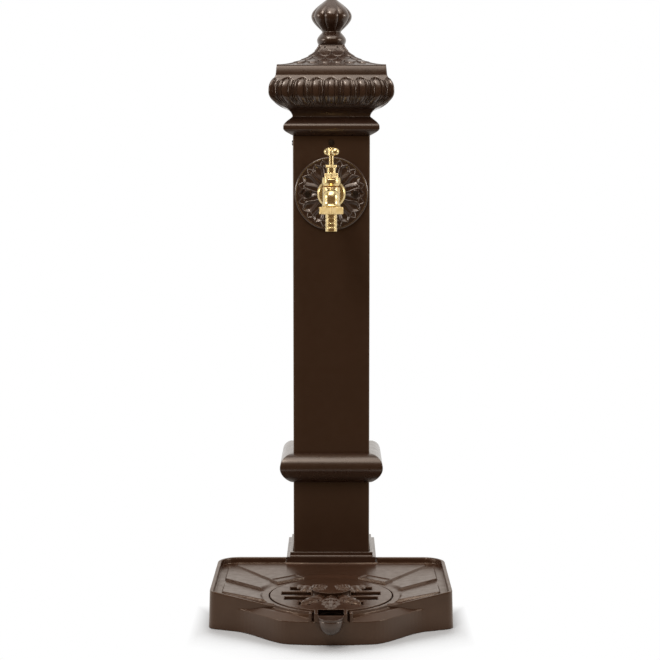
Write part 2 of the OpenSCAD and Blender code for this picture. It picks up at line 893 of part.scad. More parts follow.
// The hollow capital casting with the spigot that goes into the column
module capital() {
    color(iron)
        difference() {
            union() {
                translate([0, 0, column_top])
                    square_moulding(capital_profile());
                square_block(spigot_half, column_top - spigot_len, spigot_len + cut);
            }
            square_block(spigot_half - capital_wall, column_top - spigot_len - cut, spigot_len + torus_h);
            square_block(neck_half - capital_wall, column_top + capital_wall, torus_h + neck_h);
            square_block(bell_half, bell_z, web_z - bell_z);
            cylinder(h = finial_z, r = stud_r + loose);
            on_faces(capital_screw_faces, 0, spigot_half, capital_screw_z)
                screw_hole(capital_wall + cut);
        }
}

// The two screws that hold the capital's spigot, in front and on the left
module capital_screws() {
    color(steel)
        on_faces(capital_screw_faces, 0, column_half, capital_screw_z)
            pan_screw(column_half - spigot_half + capital_wall);
}

// The concave roof on the capital
module capital_roof() {
    color(iron)
        difference() {
            translate([0, 0, roof_z])
                square_moulding(roof_profile());
            cylinder(h = 2 * finial_z, r = stud_r + loose);
        }
}

// The onion finial
module finial() {
    color(iron)
        difference() {
            translate([0, 0, finial_z])
                rotate_extrude()
                    polygon(finial_profile());
            cylinder(h = stud_top + seat_gap, r = stud_r + fit);
        }
}

// The stud that draws finial and roof down on the capital
module finial_stud() {
    color(steel)
        translate([0, 0, stud_low])
            cylinder(h = stud_top - stud_low, r = stud_r);
}

// The nut on the stud, under the capital's web
module finial_nut() {
    color(steel)
        translate([0, 0, web_z - finial_washer_t - finial_nut_h])
            difference() {
                hex_prism(stud_r * 3.2, finial_nut_h);
                translate([0, 0, -cut])
                    cylinder(h = finial_nut_h + 2 * cut, r = stud_r + fit);
            }
}

// The washer between the nut and the web
module finial_washer() {
    color(steel)
        translate([0, 0, web_z - finial_washer_t])
            ring(stud_r * 2.4, stud_r + loose, finial_washer_t);
}

// A flat ring
module ring(outer_r, inner_r, height) {
    difference() {
        cylinder(h = height, r = outer_r);
        translate([0, 0, -cut])
            cylinder(h = height + 2 * cut, r = inner_r);
    }
}

// The rosette behind the tap: a plate with a rim and pointed petals
module rosette() {
    petal_end = rosette_r - rosette_rim_w - 1;
    petal_w = 2 * rosette_hub_r * sin(180 / petals) * 1.1;
    color(iron)
        translate([0, column_front, tap_z])
            rotate([90, 0, 0])
                difference() {
                    union() {
                        cylinder(h = rosette_t, r = rosette_r);
                        ring(rosette_r, rosette_r - rosette_rim_w, rosette_t + rosette_relief);
                        linear_extrude(height = rosette_t + rosette_relief)
                            for (i = [0:petals - 1])
                                rotate(360 / petals * i)
                                    leaf(rosette_hub_r, petal_end, petal_w);
                    }
                    translate([0, 0, -cut])
                        cylinder(h = rosette_t + rosette_relief + 2 * cut, r = inlet_r + loose);
                    for (side = [-1, 1])
                        translate([side * rosette_screw_r, 0, rosette_t + rosette_relief])
                            screw_hole(rosette_t + rosette_relief + cut);
                }
}

// The two screws that hold the rosette
module rosette_screws() {
    color(steel)
        for (side = [-1, 1])
            on_faces([0], side * rosette_screw_r, -rosette_front + rosette_relief, tap_z)
                pan_screw(rosette_t + rosette_relief + column_wall);
}

// The copper riser pipe inside the column
module riser_pipe() {
    color(copper)
        translate([0, -riser_y, pipe_low])
            ring(pipe_r, pipe_r - pipe_wall, elbow_low + pipe_stop - pipe_low);
}

// The elbow that the tap screws into
module tap_elbow() {
    socket_end = inlet_end + cut;
    color(brass)
        difference() {
            union() {
                along_depth(-riser_y, tap_z, -elbow_mouth - riser_y, elbow_r);
                translate([0, -riser_y, tap_z])
                    sphere(r = elbow_r);
                translate([0, -riser_y, elbow_low])
                    cylinder(h = tap_z - elbow_low, r = elbow_leg_r);
            }
            along_depth(socket_end, tap_z, socket_end - elbow_mouth + cut, inlet_r + fit);
            along_depth(-riser_y, tap_z, -elbow_mouth - riser_y, bore_r);
            translate([0, -riser_y, elbow_low - cut])
                cylinder(h = tap_z - elbow_low + cut, r = bore_r);
            translate([0, -riser_y, elbow_low - cut])
                cylinder(h = pipe_stop + cut, r = pipe_r + fit);
        }
}

// A compression nut on the riser pipe
module compression_nut(z) {
    color(brass)
        translate([0, -riser_y, z])
            difference() {
                hex_prism(comp_af, comp_h);
                translate([0, 0, -cut])
                    cylinder(h = comp_h + 2 * cut, r = pipe_r + fit);
            }
}

// The compression nut under the elbow
module elbow_nut() {
    compression_nut(elbow_low - comp_h);
}

// The threaded connector where the supply joins
module inlet_connector() {
    color(brass)
        translate([0, -riser_y, 0])
            difference() {
                union() {
                    translate([0, 0, inlet_z])
                        cylinder(h = supply_len + cut, r = inlet_r);
                    translate([0, 0, inlet_hex_z])
                        hex_prism(comp_af, hex_h);
                    translate([0, 0, inlet_body_z - cut])
                        cylinder(h = inlet_body_h + cut, r = pipe_r + 3);
                }
                translate([0, 0, inlet_z - cut])
                    cylinder(h = inlet_top, r = pipe_r - pipe_wall);
                translate([0, 0, pipe_low])
                    cylinder(h = inlet_top, r = pipe_r + fit);
            }
}

// The compression nut on the inlet connector
module inlet_nut() {
    compression_nut(inlet_top);
}

// The fibre washer behind the tap's flange
module flange_washer() {
    color(rubber)
        translate([0, rosette_front, tap_z])
            rotate([90, 0, 0])
                ring(flange_r - 2 * cut, inlet_r + loose, flange_washer_t);
}

// The brass tap body with its inlet thread, seat and outlet thread
module tap_body() {
    slant_y = 26;
    slant_z = 11;
    slant_start_z = tap_z - 2;
    slant_r = port_r - 0.6;
    slant_wall = 3.2;
    port_low = slant_start_z - slant_z - port_r;
    color(brass)
        difference() {
            union() {
                along_depth(inlet_end, tap_z, inlet_len + cut, inlet_r);
                along_depth(flange_back, tap_z, flange_t - flange_edge, flange_r);
                translate([0, flange_front + flange_edge, tap_z])
                    rotate([90, 0, 0])
                        cylinder(h = flange_edge, r1 = flange_r, r2 = flange_r - flange_edge);
                along_depth(flange_front + cut, tap_z, flange_front + cut - spindle_y, tap_neck_r);
                translate([0, spindle_y, body_low_z])
                    sphere(r = body_r);
                translate([0, spindle_y, body_low_z])
                    cylinder(h = bonnet_seat_z - body_low_z, r = body_r);
                translate([0, spindle_y + slant_y, slant_start_z])
                    rotate([90 + atan2(slant_z, slant_y), 0, 0])
                        cylinder(h = norm([slant_y, slant_z]), r = slant_r + slant_wall);
                along_depth(spindle_y, arm_z, outlet_reach + cut, arm_r);
                translate([0, outlet_y, arm_z])
                    sphere(r = barrel_r);
                translate([0, outlet_y, thread_low])
                    cylinder(h = arm_z - thread_low, r = barrel_r);
                translate([0, outlet_y, thread_low])
                    cylinder(h = thread_top - thread_low, r = outlet_r);
            }
            along_depth(inlet_end + cut, tap_z, inlet_end + 3 * cut - spindle_y - slant_y, bore_r);
            translate([0, spindle_y + slant_y, slant_start_z])
                rotate([90 + atan2(slant_z, slant_y), 0, 0])
                    cylinder(h = norm([slant_y, slant_z]), r = slant_r);
            translate([0, spindle_y, port_low])
                cylinder(h = seat_z - port_low + cut, r = port_r);
            translate([0, spindle_y, seat_z - seat_ring_h])
                difference() {
                    cylinder(h = bonnet_seat_z - seat_z + seat_ring_h + cut, r = chamber_r);
                    translate([0, 0, -cut])
                        cylinder(h = seat_ring_h + cut, r = seat_ring_r);
                }
            translate([0, spindle_y, bonnet_seat_z])
                cylinder(h = bonnet_h, r = bonnet_r + cut);
            along_depth(spindle_y, arm_bore_z, outlet_reach, arm_bore_r);
            translate([0, outlet_y, thread_low - cut])
                cylinder(h = arm_bore_z - thread_low + cut, r = bore_r);
        }
}

// The washer under the bonnet
module bonnet_washer() {
    color(rubber)
        translate([0, spindle_y, bonnet_seat_z])
            ring(bonnet_r - 2 * cut, chamber_r + fit, bonnet_washer_t);
}

// The bonnet that carries the spindle's screw and the gland
module tap_bonnet() {
    low = bonnet_seat_z - bonnet_screw_len;
    color(brass)
        translate([0, spindle_y, 0])
            difference() {
                union() {
                    translate([0, 0, low])
                        cylinder(h = bonnet_z - low + cut, r = chamber_r - fit);
                    translate([0, 0, bonnet_z])
                        cylinder(h = bonnet_h, r = bonnet_r);
                    translate([0, 0, bonnet_hex_z - cut])
                        hex_prism(bonnet_af, bonnet_hex_h + cut);
                    translate([0, 0, bonnet_neck_z - cut])
                        cylinder(h = bonnet_neck_h + cut, r = bonnet_neck_r);
                }
                translate([0, 0, low - cut])
                    cylinder(h = plate_room_z - low + cut, r = plate_r + loose);
                translate([0, 0, low - cut])
                    cylinder(h = packing_floor - low + cut, r = screw_stem_r + turn_fit);
                translate([0, 0, low])
                    cylinder(h = gland_z - low, r = stem_r + turn_fit);
                translate([0, 0, packing_z])
                    cylinder(h = gland_z - packing_z + cut, r = packing_r);
            }
}

// The packing round the spindle
module gland_packing() {
    color(rubber)
        translate([0, spindle_y, packing_z])
            ring(packing_r - fit, stem_r + turn_fit, packing_h);
}

// The gland nut that presses the packing
module gland_nut() {
    sleeve_z = packing_z + packing_h;
    color(brass)
        translate([0, spindle_y, 0])
            difference() {
                union() {
                    translate([0, 0, gland_z])
                        hex_prism(gland_af, gland_h);
                    translate([0, 0, sleeve_z])
                        cylinder(h = gland_z - sleeve_z + cut, r = packing_r - fit);
                }
                translate([0, 0, sleeve_z - cut])
                    cylinder(h = gland_top - sleeve_z + 2 * cut, r = stem_r + turn_fit);
            }
}

// The spindle with its screw and the socket for the jumper
module tap_spindle() {
    color(brass)
        translate([0, spindle_y, 0])
            difference() {
                union() {
                    translate([0, 0, spindle_low])
                        cylinder(h = spindle_screw_top - spindle_low, r = screw_stem_r);
                    translate([0, 0, spindle_screw_top - cut])
                        cylinder(h = handle_z + handle_ball_r - spindle_screw_top + cut, r = stem_r);
                }
                translate([0, 0, spindle_low - cut])
                    cylinder(h = jumper_top - spindle_low + cut + seat_gap, r = jumper_r + turn_fit);
            }
}

// The tee handle with a ball on each end
module tee_handle() {
    color(brass)
        translate([0, spindle_y, handle_z])
            rotate(handle_angle)
                difference() {
                    union() {
                        along_depth(handle_len / 2, 0, handle_len, handle_bar_r);
                        for (end = [-1, 1])
                            translate([0, end * handle_len / 2, 0])
                                sphere(r = handle_ball_r);
                        translate([0, 0, -handle_ball_r])
                            cylinder(h = 2 * handle_ball_r, r = hub_r);
                    }
                    translate([0, 0, -2 * handle_ball_r])
                        cylinder(h = 4 * handle_ball_r, r = stem_r + fit);
                }
}

// The jumper valve that the spindle lifts
module jumper() {
    pin_low = washer_z - valve_nut_h - 0.5;
    color(brass)
        translate([0, spindle_y, 0]) {
            translate([0, 0, plate_z])
                cylinder(h = plate_t, r = plate_r);
            translate([0, 0, plate_z])
                cylinder(h = jumper_top - plate_z, r = jumper_r);
            translate([0, 0, pin_low])
                cylinder(h = plate_z - pin_low + cut, r = valve_pin_r);
        }
}

// The rubber washer that closes the seat
module valve_washer() {
    color(rubber)
        translate([0, spindle_y, washer_z])
            ring(washer_r, valve_pin_r + fit, washer_t);
}

// The nut that holds the valve washer
module washer_nut() {
    color(brass)
        translate([0, spindle_y, washer_z - valve_nut_h])
            difference() {
                hex_prism(valve_pin_r * 3.4, valve_nut_h);
                translate([0, 0, -cut])
                    cylinder(h = valve_nut_h + 2 * cut, r = valve_pin_r + fit);
            }
}

// The washer between the hose tail and the outlet
module tail_washer() {
    color(rubber)
        translate([0, outlet_y, tail_washer_z])
            ring(tail_flange_r, bore_r, tail_washer_t);
}

// The ridged hose tail
module hose_tail() {
    low = nut_low - tail_len;
    ridge = tail_len / tail_ridges;
    color(brass)
        translate([0, outlet_y, 0])
            difference() {
                union() {
                    translate([0, 0, low])
                        cylinder(h = tail_len, r = tail_r);
                    translate([0, 0, nut_low - cut])
                        cylinder(h = tail_flange_z - nut_low + 2 * cut, r = tail_r - loose);
                    translate([0, 0, tail_flange_z])
                        cylinder(h = tail_flange_t, r = tail_flange_r);
                }
                translate([0, 0, low - cut])
                    cylinder(h = tail_flange_z - low + tail_flange_t + 2 * cut, r = bore_r - cut);
                for (i = [1:tail_ridges - 1])
                    translate([0, 0, low + ridge * i])
                        rotate_extrude()
                            polygon([
                                [tail_r - tail_groove, 0],
                                [tail_r + cut, -tail_groove - cut],
                                [tail_r + cut, tail_groove + cut]
                            ]);
            }
}

// The hexagon nut that turns on the hose tail
module union_nut() {
    color(brass)
        translate([0, outlet_y, nut_low])
            difference() {
                hex_prism(union_af, union_h);
                translate([0, 0, -cut])
                    cylinder(h = union_h, r = tail_r + loose);
                translate([0, 0, nut_lip])
                    cylinder(h = union_h, r = outlet_r + turn_fit);
            }
}

foot();
column();
column_collar();
collar_screws();
column_screws();
drip_tray();
tray_bolts();
drain_grate();
grate_knob();
capital();
capital_screws();
capital_roof();
finial();
finial_stud();
finial_nut();
finial_washer();
rosette();
rosette_screws();
riser_pipe();
tap_elbow();
elbow_nut();
inlet_connector();
inlet_nut();
flange_washer();
tap_body();
bonnet_washer();
tap_bonnet();
gland_packing();
gland_nut();
tap_spindle();
tee_handle();
jumper();
valve_washer();
washer_nut();
tail_washer();
hose_tail();
union_nut();
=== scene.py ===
"""Looks of a garden standpipe: a brown cast column, a brass hose tap and a drip tray with a lift-out grate.

Sizes are written in millimetres and turned into metres by MM. Places come from the frame's own boxes.
"""
import json
import math

import bmesh
import bpy
import numpy as np
from mathutils import Matrix, Vector


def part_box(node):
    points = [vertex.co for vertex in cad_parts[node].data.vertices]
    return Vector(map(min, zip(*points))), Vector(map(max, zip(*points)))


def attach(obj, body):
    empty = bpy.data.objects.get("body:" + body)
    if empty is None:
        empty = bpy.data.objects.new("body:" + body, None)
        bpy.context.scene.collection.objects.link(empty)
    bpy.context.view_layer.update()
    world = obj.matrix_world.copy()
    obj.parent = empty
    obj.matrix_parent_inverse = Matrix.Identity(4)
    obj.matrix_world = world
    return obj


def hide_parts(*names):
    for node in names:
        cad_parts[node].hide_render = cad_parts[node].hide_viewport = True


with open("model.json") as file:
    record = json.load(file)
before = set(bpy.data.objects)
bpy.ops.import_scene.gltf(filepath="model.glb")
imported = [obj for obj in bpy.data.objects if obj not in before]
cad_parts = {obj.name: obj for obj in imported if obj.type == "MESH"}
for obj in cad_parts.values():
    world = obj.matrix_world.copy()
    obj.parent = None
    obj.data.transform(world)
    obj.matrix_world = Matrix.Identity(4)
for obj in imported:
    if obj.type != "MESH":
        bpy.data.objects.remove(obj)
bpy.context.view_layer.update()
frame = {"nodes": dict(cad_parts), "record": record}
scene = bpy.context.scene
MM = 0.001


# Frame sizes in millimetres

def low(node):
    """Lowest corner of a node in millimetres."""
    return np.array(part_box(node)[0]) / MM


def high(node):
    """Highest corner of a node in millimetres."""
    return np.array(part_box(node)[1]) / MM


COLUMN_HALF = high("column")[0]
COLUMN_LOW = low("column")[2]
COLUMN_TOP = high("column")[2]


# Materials

def node_tree(name):
    """A new material with its node tree and its main shader."""
    material = bpy.data.materials.new(name)
    material.use_nodes = True
    tree = material.node_tree
    return material, tree, tree.nodes["Principled BSDF"]


def add(tree, kind, **values):
    """A node with its properties and the values of its inputs."""
    node = tree.nodes.new(kind)
    for key, value in values.items():
        if key in node.inputs:
            node.inputs[key].default_value = value
        else:
            setattr(node, key, value)
    return node


def noise(tree, scale, detail=4.0, rough=0.55):
    """Noise in the object's own space, with a scale in features for each metre."""
    where = add(tree, "ShaderNodeTexCoord")
    texture = add(tree, "ShaderNodeTexNoise", Scale=scale, Detail=detail, Roughness=rough)
    tree.links.new(where.outputs["Object"], texture.inputs["Vector"])
    return texture.outputs["Fac"]


def ramp(tree, source, low_in, high_in, low_out, high_out):
    """A value stretched from one range to another and held at its ends."""
    node = add(tree, "ShaderNodeMapRange", clamp=True)
    limits = {"From Min": low_in, "From Max": high_in, "To Min": low_out, "To Max": high_out}
    for key, value in limits.items():
        node.inputs[key].default_value = value
    tree.links.new(source, node.inputs["Value"])
    return node.outputs["Result"]


PATCH_LOW, PATCH_HIGH = 0.3, 0.7


def patches(tree, scale, low_out=0.0, high_out=1.0):
    """Noise stretched to a range, so that it has clear patches."""
    return ramp(tree, noise(tree, scale), PATCH_LOW, PATCH_HIGH, low_out, high_out)


def mix_colour(tree, factor, first, second):
    """One colour or socket faded into another."""
    node = add(tree, "ShaderNodeMix", data_type="RGBA")
    tree.links.new(factor, node.inputs["Factor"])
    for socket, value in ((node.inputs[6], first), (node.inputs[7], second)):
        if hasattr(value, "is_output"):
            tree.links.new(value, socket)
        else:
            socket.default_value = (*value, 1.0)
    return node.outputs[2]


def bump(tree, shader, layers):
    """Bump from several height sources: (socket, height in millimetres) one on the other."""
    last = None
    for source, height in layers:
        node = add(tree, "ShaderNodeBump", Strength=1.0, Distance=height * MM)
        tree.links.new(source, node.inputs["Height"])
        if last is not None:
            tree.links.new(last, node.inputs["Normal"])
        last = node.outputs["Normal"]
    tree.links.new(last, shader.inputs["Normal"])


def edges(tree, low_in, high_in):
    """1 on convex edges, where rubbed paint and a painted highlight go, and 0 elsewhere."""
    geometry = add(tree, "ShaderNodeNewGeometry")
    return ramp(tree, geometry.outputs["Pointiness"], low_in, high_in, 0.0, 1.0)


METAL_SHARE = 0.25
EDGE_TINT = (1.0, 0.75, 0.48, 1.0)
COAT_GLOSS = 0.26
# Range of pointiness where convex edges take the lighter colour: partly rubbed paint, partly a painted
# highlight on ridges and rims.
RUB_HIGHLIGHT_START, RUB_HIGHLIGHT_FULL = 0.53, 0.60
CLOUD_DARK, CLOUD_LIGHT = 0.86, 1.12
CLOUD_SCALE, SHEEN_SCALE, PORE_SCALE, WAVE_SCALE = 14.0, 90.0, 420.0, 60.0


def paint(name, colour, rub_and_highlight, gloss, grain, coat):
    """Bronze brown paint under lacquer: cloudy colour, lighter convex edges that are partly rubbed paint
    and partly painted highlight, and the pores of the mould.
    """
    material, tree, shader = node_tree(name)
    dark = tuple(CLOUD_DARK * c for c in colour)
    light = tuple(CLOUD_LIGHT * c for c in colour)
    body = mix_colour(tree, patches(tree, CLOUD_SCALE), dark, light)
    # Lighter colour on convex edges: partly rubbed paint, partly a painted highlight along ridges and rims.
    rubbed_and_lit = mix_colour(tree, edges(tree, RUB_HIGHLIGHT_START, RUB_HIGHLIGHT_FULL), body, rub_and_highlight)
    tree.links.new(rubbed_and_lit, shader.inputs["Base Color"])
    sheen = patches(tree, SHEEN_SCALE, gloss - 0.05, gloss + 0.07)
    tree.links.new(sheen, shader.inputs["Roughness"])
    shader.inputs["Metallic"].default_value = METAL_SHARE
    shader.inputs["Specular Tint"].default_value = EDGE_TINT
    shader.inputs["Coat Weight"].default_value = coat
    shader.inputs["Coat Roughness"].default_value = COAT_GLOSS
    pores, waves = noise(tree, PORE_SCALE, 6.0), noise(tree, WAVE_SCALE, 2.0)
    bump(tree, shader, [(pores, grain), (waves, 2.0 * grain)])
    return material


STAIN_START, STAIN_FULL = 0.35, 0.75
STAIN_SCALE, POLISH_SCALE, MARK_SCALE = 120.0, 500.0, 900.0


def metal(name, colour, tint, gloss, grain):
    """Bare metal with faint stains, uneven polish and fine marks."""
    material, tree, shader = node_tree(name)
    stains = ramp(tree, noise(tree, STAIN_SCALE), STAIN_START, STAIN_FULL, 0.0, 1.0)
    tree.links.new(mix_colour(tree, stains, colour, tint), shader.inputs["Base Color"])
    shader.inputs["Metallic"].default_value = 1.0
    polish = patches(tree, POLISH_SCALE, gloss - 0.03, gloss + 0.05)
    tree.links.new(polish, shader.inputs["Roughness"])
    bump(tree, shader, [(noise(tree, MARK_SCALE, 3.0), grain)])
    return material


SOFT_LIGHT, SOFT_ROUGH = 1.5, 0.75
SOFT_SCALE, NAP_SCALE, NAP_HEIGHT = 300.0, 1200.0, 0.05


def soft(name, colour):
    """Matt rubber or fibre."""
    material, tree, shader = node_tree(name)
    light = tuple(SOFT_LIGHT * c for c in colour)
    shade = mix_colour(tree, patches(tree, SOFT_SCALE), colour, light)
    tree.links.new(shade, shader.inputs["Base Color"])
    shader.inputs["Roughness"].default_value = SOFT_ROUGH
    bump(tree, shader, [(noise(tree, NAP_SCALE), NAP_HEIGHT)])
    return material


# The second colour of each paint goes on convex edges: rubbed paint and a painted highlight.
IRON = paint("iron_paint", (0.030, 0.0122, 0.0066), (0.08, 0.050, 0.034), 0.30, 0.03, 0.8)
DECK = paint("tray_paint", (0.041, 0.0172, 0.0092), (0.06, 0.034, 0.022), 0.33, 0.04, 0.25)
TUBE = paint("tube_paint", (0.0252, 0.0095, 0.0047), (0.055, 0.030, 0.018), 0.36, 0.02, 0.0)
BRASS = metal("polished_brass", (0.74, 0.58, 0.30), (0.62, 0.45, 0.19), 0.24, 0.010)
NUT = metal("brushed_brass", (0.70, 0.54, 0.27), (0.58, 0.42, 0.17), 0.40, 0.060)
STEEL = metal("dark_steel", (0.07, 0.055, 0.045), (0.035, 0.026, 0.020), 0.38, 0.03)
COPPER = metal("copper_tube", (0.80, 0.42, 0.26), (0.55, 0.27, 0.16), 0.28, 0.015)
RUBBER = soft("black_rubber", (0.012, 0.012, 0.012))
FIBRE = soft("red_fibre", (0.16, 0.055, 0.022))
SLOTS = {
    "painted_iron": IRON, "painted_tube": TUBE, "brass": BRASS,
    "steel": STEEL, "copper": COPPER, "rubber": RUBBER,
}
SLOT_OF = {material.name: slot for slot, material in SLOTS.items()}
SLOT_OF[DECK.name] = "painted_iron"
SLOT_OF[NUT.name] = "brass"
for part in frame["record"]["subparts"]:
    shown = frame["nodes"][part["node"]]
    shown.data.materials.clear()
    shown.data.materials.append(SLOTS[part["material_slot"]])
frame["nodes"]["bonnet_washer"].data.materials[0] = FIBRE


# Camera at the photograph's place

FOCAL_PX = 1700.0
IMAGE_PX = 660.0
SENSOR_MM = 36.0
CAMERA_REACH = 2493.3
CAMERA_HEIGHT = 633.6
CAMERA_AZIMUTH = 0.15
CAMERA_PITCH = 5.8
AXIS_PX = 1.5


def make_camera():
    """The camera in front of the middle, a little above the tap."""
    data = bpy.data.cameras.new("camera")
    data.sensor_width = SENSOR_MM
    data.lens = SENSOR_MM * FOCAL_PX / IMAGE_PX
    data.clip_start = 0.05
    data.clip_end = 60.0
    camera = bpy.data.objects.new("camera", data)
    scene.collection.objects.link(camera)
    turn = math.radians(CAMERA_AZIMUTH)
    stand = (math.sin(turn) * CAMERA_REACH, -math.cos(turn) * CAMERA_REACH, CAMERA_HEIGHT)
    camera.location = Vector(stand) * MM
    aside = math.atan(AXIS_PX / FOCAL_PX)
    camera.rotation_euler = (math.radians(90.0 - CAMERA_PITCH), 0.0, turn + aside)
    scene.camera = camera


# Light: a soft box above, a small key lamp, a box on each side and a room that is dark in front

LAMP_AIM = (0.0, -0.1, 0.4)


def softbox(name, spot, size, power):
    """A rectangular lamp, in metres and watts, that looks at the middle of the column."""
    data = bpy.data.lights.new(name, "AREA")
    data.shape = "RECTANGLE"
    data.size, data.size_y = size
    data.energy = power
    lamp = bpy.data.objects.new(name, data)
    scene.collection.objects.link(lamp)
    lamp.location = spot
    aim = Vector(LAMP_AIM) - Vector(spot)
    lamp.rotation_euler = aim.to_track_quat("-Z", "Y").to_euler()


def most(tree, *sources):
    """The largest of several values."""
    total = sources[0]
    for source in sources[1:]:
        node = add(tree, "ShaderNodeMath", operation="MAXIMUM")
        tree.links.new(total, node.inputs[0])
        tree.links.new(source, node.inputs[1])
        total = node.outputs[0]
    return total


def background_rays(tree):
    """1 for camera rays, and 1 for all rays that show the background, off metal and through glass too."""
    path = add(tree, "ShaderNodeLightPath")
    kinds = [path.outputs[key] for key in ("Is Camera Ray", "Is Glossy Ray", "Is Transmission Ray")]
    return kinds[0], most(tree, *kinds)


ROOM_FRONT, ROOM_BACK = (0.19, 0.128, 0.076), (0.85, 0.85, 0.85)
ROOM_FADE, WHITE_FADE = (-0.60, 0.30), (0.0, 0.30)


def make_world():
    """White behind the object, and all round to the camera; a room that is dark in front of it."""
    world = bpy.data.worlds.new("room")
    scene.world = world
    world.use_nodes = True
    tree = world.node_tree
    shade = tree.nodes["Background"]
    where = add(tree, "ShaderNodeTexCoord")
    split = add(tree, "ShaderNodeSeparateXYZ")
    tree.links.new(where.outputs["Generated"], split.inputs["Vector"])
    around = ramp(tree, split.outputs["Y"], *ROOM_FADE, 0.0, 1.0)
    room = mix_colour(tree, around, ROOM_FRONT, ROOM_BACK)
    behind_it = ramp(tree, split.outputs["Y"], *WHITE_FADE, 0.0, 1.0)
    camera, shown = background_rays(tree)
    back = add(tree, "ShaderNodeMath", operation="MULTIPLY")
    tree.links.new(behind_it, back.inputs[0])
    tree.links.new(shown, back.inputs[1])
    white = most(tree, back.outputs[0], camera)
    tree.links.new(mix_colour(tree, white, room, (1.0, 1.0, 1.0)), shade.inputs["Color"])
    shade.inputs["Strength"].default_value = 1.0


FLOOR_SIZE = (8.0, 6.0)
FLOOR_FRONT, FLOOR_DROP = -0.52, 0.0002
# Grey of the floor near the tray: painted shade, seen only where the white glow is faded out.
FLOOR_SHADE_GREY = (0.40, 0.40, 0.40, 1.0)
SHADOW_REACH = 0.09
SHADE_AO_FADE, SIDE_FADE, BACK_FADE = (0.72, 0.97), (0.160, 0.190), (-0.20, -0.13)


def make_floor():
    """A floor with grey painted shade round the tray's front over its real shadow, where ambient occlusion
    is low; elsewhere it glows white into the room.
    """
    middle = (0.0, FLOOR_FRONT + FLOOR_SIZE[1] / 2.0, -FLOOR_DROP)
    bpy.ops.mesh.primitive_plane_add(size=1.0, location=middle)
    floor = bpy.context.object
    floor.name = "floor"
    floor.data.transform(Matrix.Diagonal((*FLOOR_SIZE, 1.0, 1.0)))
    material, tree, shader = node_tree("floor_pale_with_painted_shade")
    shader.inputs["Base Color"].default_value = FLOOR_SHADE_GREY
    shader.inputs["Roughness"].default_value = 0.9
    shader.inputs["Specular IOR Level"].default_value = 0.0
    glow = add(tree, "ShaderNodeEmission", Strength=1.0)
    place_of = add(tree, "ShaderNodeNewGeometry")
    split = add(tree, "ShaderNodeSeparateXYZ")
    tree.links.new(place_of.outputs["Position"], split.inputs["Vector"])
    hidden = add(tree, "ShaderNodeAmbientOcclusion", Distance=SHADOW_REACH)
    aside = add(tree, "ShaderNodeMath", operation="ABSOLUTE")
    tree.links.new(split.outputs["X"], aside.inputs[0])
    # Painted shade: grey where ambient occlusion is low near the tray's front, white glow at the sides,
    # behind and further off.
    fade = most(
        tree,
        ramp(tree, hidden.outputs["AO"], *SHADE_AO_FADE, 0.0, 1.0),
        ramp(tree, aside.outputs[0], *SIDE_FADE, 0.0, 1.0),
        ramp(tree, split.outputs["Y"], *BACK_FADE, 0.0, 1.0))
    seen = add(tree, "ShaderNodeMath", operation="MULTIPLY")
    tree.links.new(fade, seen.inputs[0])
    tree.links.new(background_rays(tree)[1], seen.inputs[1])
    blend_in = add(tree, "ShaderNodeMixShader")
    tree.links.new(seen.outputs[0], blend_in.inputs["Fac"])
    tree.links.new(shader.outputs["BSDF"], blend_in.inputs[1])
    tree.links.new(glow.outputs["Emission"], blend_in.inputs[2])
    tree.links.new(blend_in.outputs["Shader"], tree.nodes["Material Output"].inputs["Surface"])
    floor.data.materials.append(material)


def make_stage():
    """Camera, lamps, room and floor."""
    scene.view_settings.view_transform = "Standard"
    make_camera()
    softbox("top_box", (0.0, -1.1, 2.6), (2.2, 2.4), 46.0)
    softbox("key_box", (-0.9, -1.7, 2.8), (0.7, 0.7), 32.0)
    softbox("left_box", (-2.6, -0.9, 1.1), (1.0, 0.8), 22.0)
    softbox("right_box", (2.6, -0.9, 1.1), (1.0, 0.8), 22.0)
    make_world()
    make_floor()


# Mesh helpers

WELD = 1e-6


def piece(name, rows, material, body, *nodes, caps=True, sharp=40.0):
    """A piece from rows of points in millimetres that run round, with a lid on its first and last."""
    rows = np.asarray(rows, float)
    count, around = rows.shape[:2]
    points = (rows.reshape(-1, 3) * MM).tolist()
    index = np.arange(count * around).reshape(count, around)
    ahead = np.roll(index, -1, axis=1)
    quads = np.stack([index[:-1], ahead[:-1], ahead[1:], index[1:]], axis=-1).reshape(-1, 4).tolist()
    if caps:
        quads += [index[0][::-1].tolist(), index[-1].tolist()]
    return finish_piece(name, points, quads, material, body, *nodes, sharp=sharp)


def finish_piece(name, points, faces, material, body, *nodes, sharp=40.0):
    """An object from points in metres, shaded smooth, that rides on a body and stands for its nodes."""
    mesh = bpy.data.meshes.new(name)
    mesh.from_pydata(points, [], faces)
    work = bmesh.new()
    work.from_mesh(mesh)
    bmesh.ops.remove_doubles(work, verts=work.verts, dist=WELD)
    bmesh.ops.recalc_face_normals(work, faces=work.faces)
    work.to_mesh(mesh)
    work.free()
    return place(bpy.data.objects.new(name, mesh), material, body, *nodes, sharp=sharp)


def place(thing, material, body, *nodes, sharp=40.0):
    """Links an object, shades it smooth, gives it its material, ties it to its body and hides the nodes it
    stands for.
    """
    mesh = thing.data
    mesh.polygons.foreach_set("use_smooth", [True] * len(mesh.polygons))
    mesh.set_sharp_from_angle(angle=math.radians(sharp))
    mesh.materials.clear()
    mesh.materials.append(material)
    scene.collection.objects.link(thing)
    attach(thing, body)
    if nodes:
        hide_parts(*nodes)
    return thing


def step(value, start, end):
    """0 before start, 1 after end and an even rise between them."""
    share = np.clip((value - start) / (end - start), 0.0, 1.0)
    return share * share * (3.0 - 2.0 * share)


def ridge(distance, width):
    """A rounded ridge, 1 on its line and 0 past half its width."""
    return np.clip(1.0 - (2.0 * distance / width) ** 2, 0.0, 1.0)


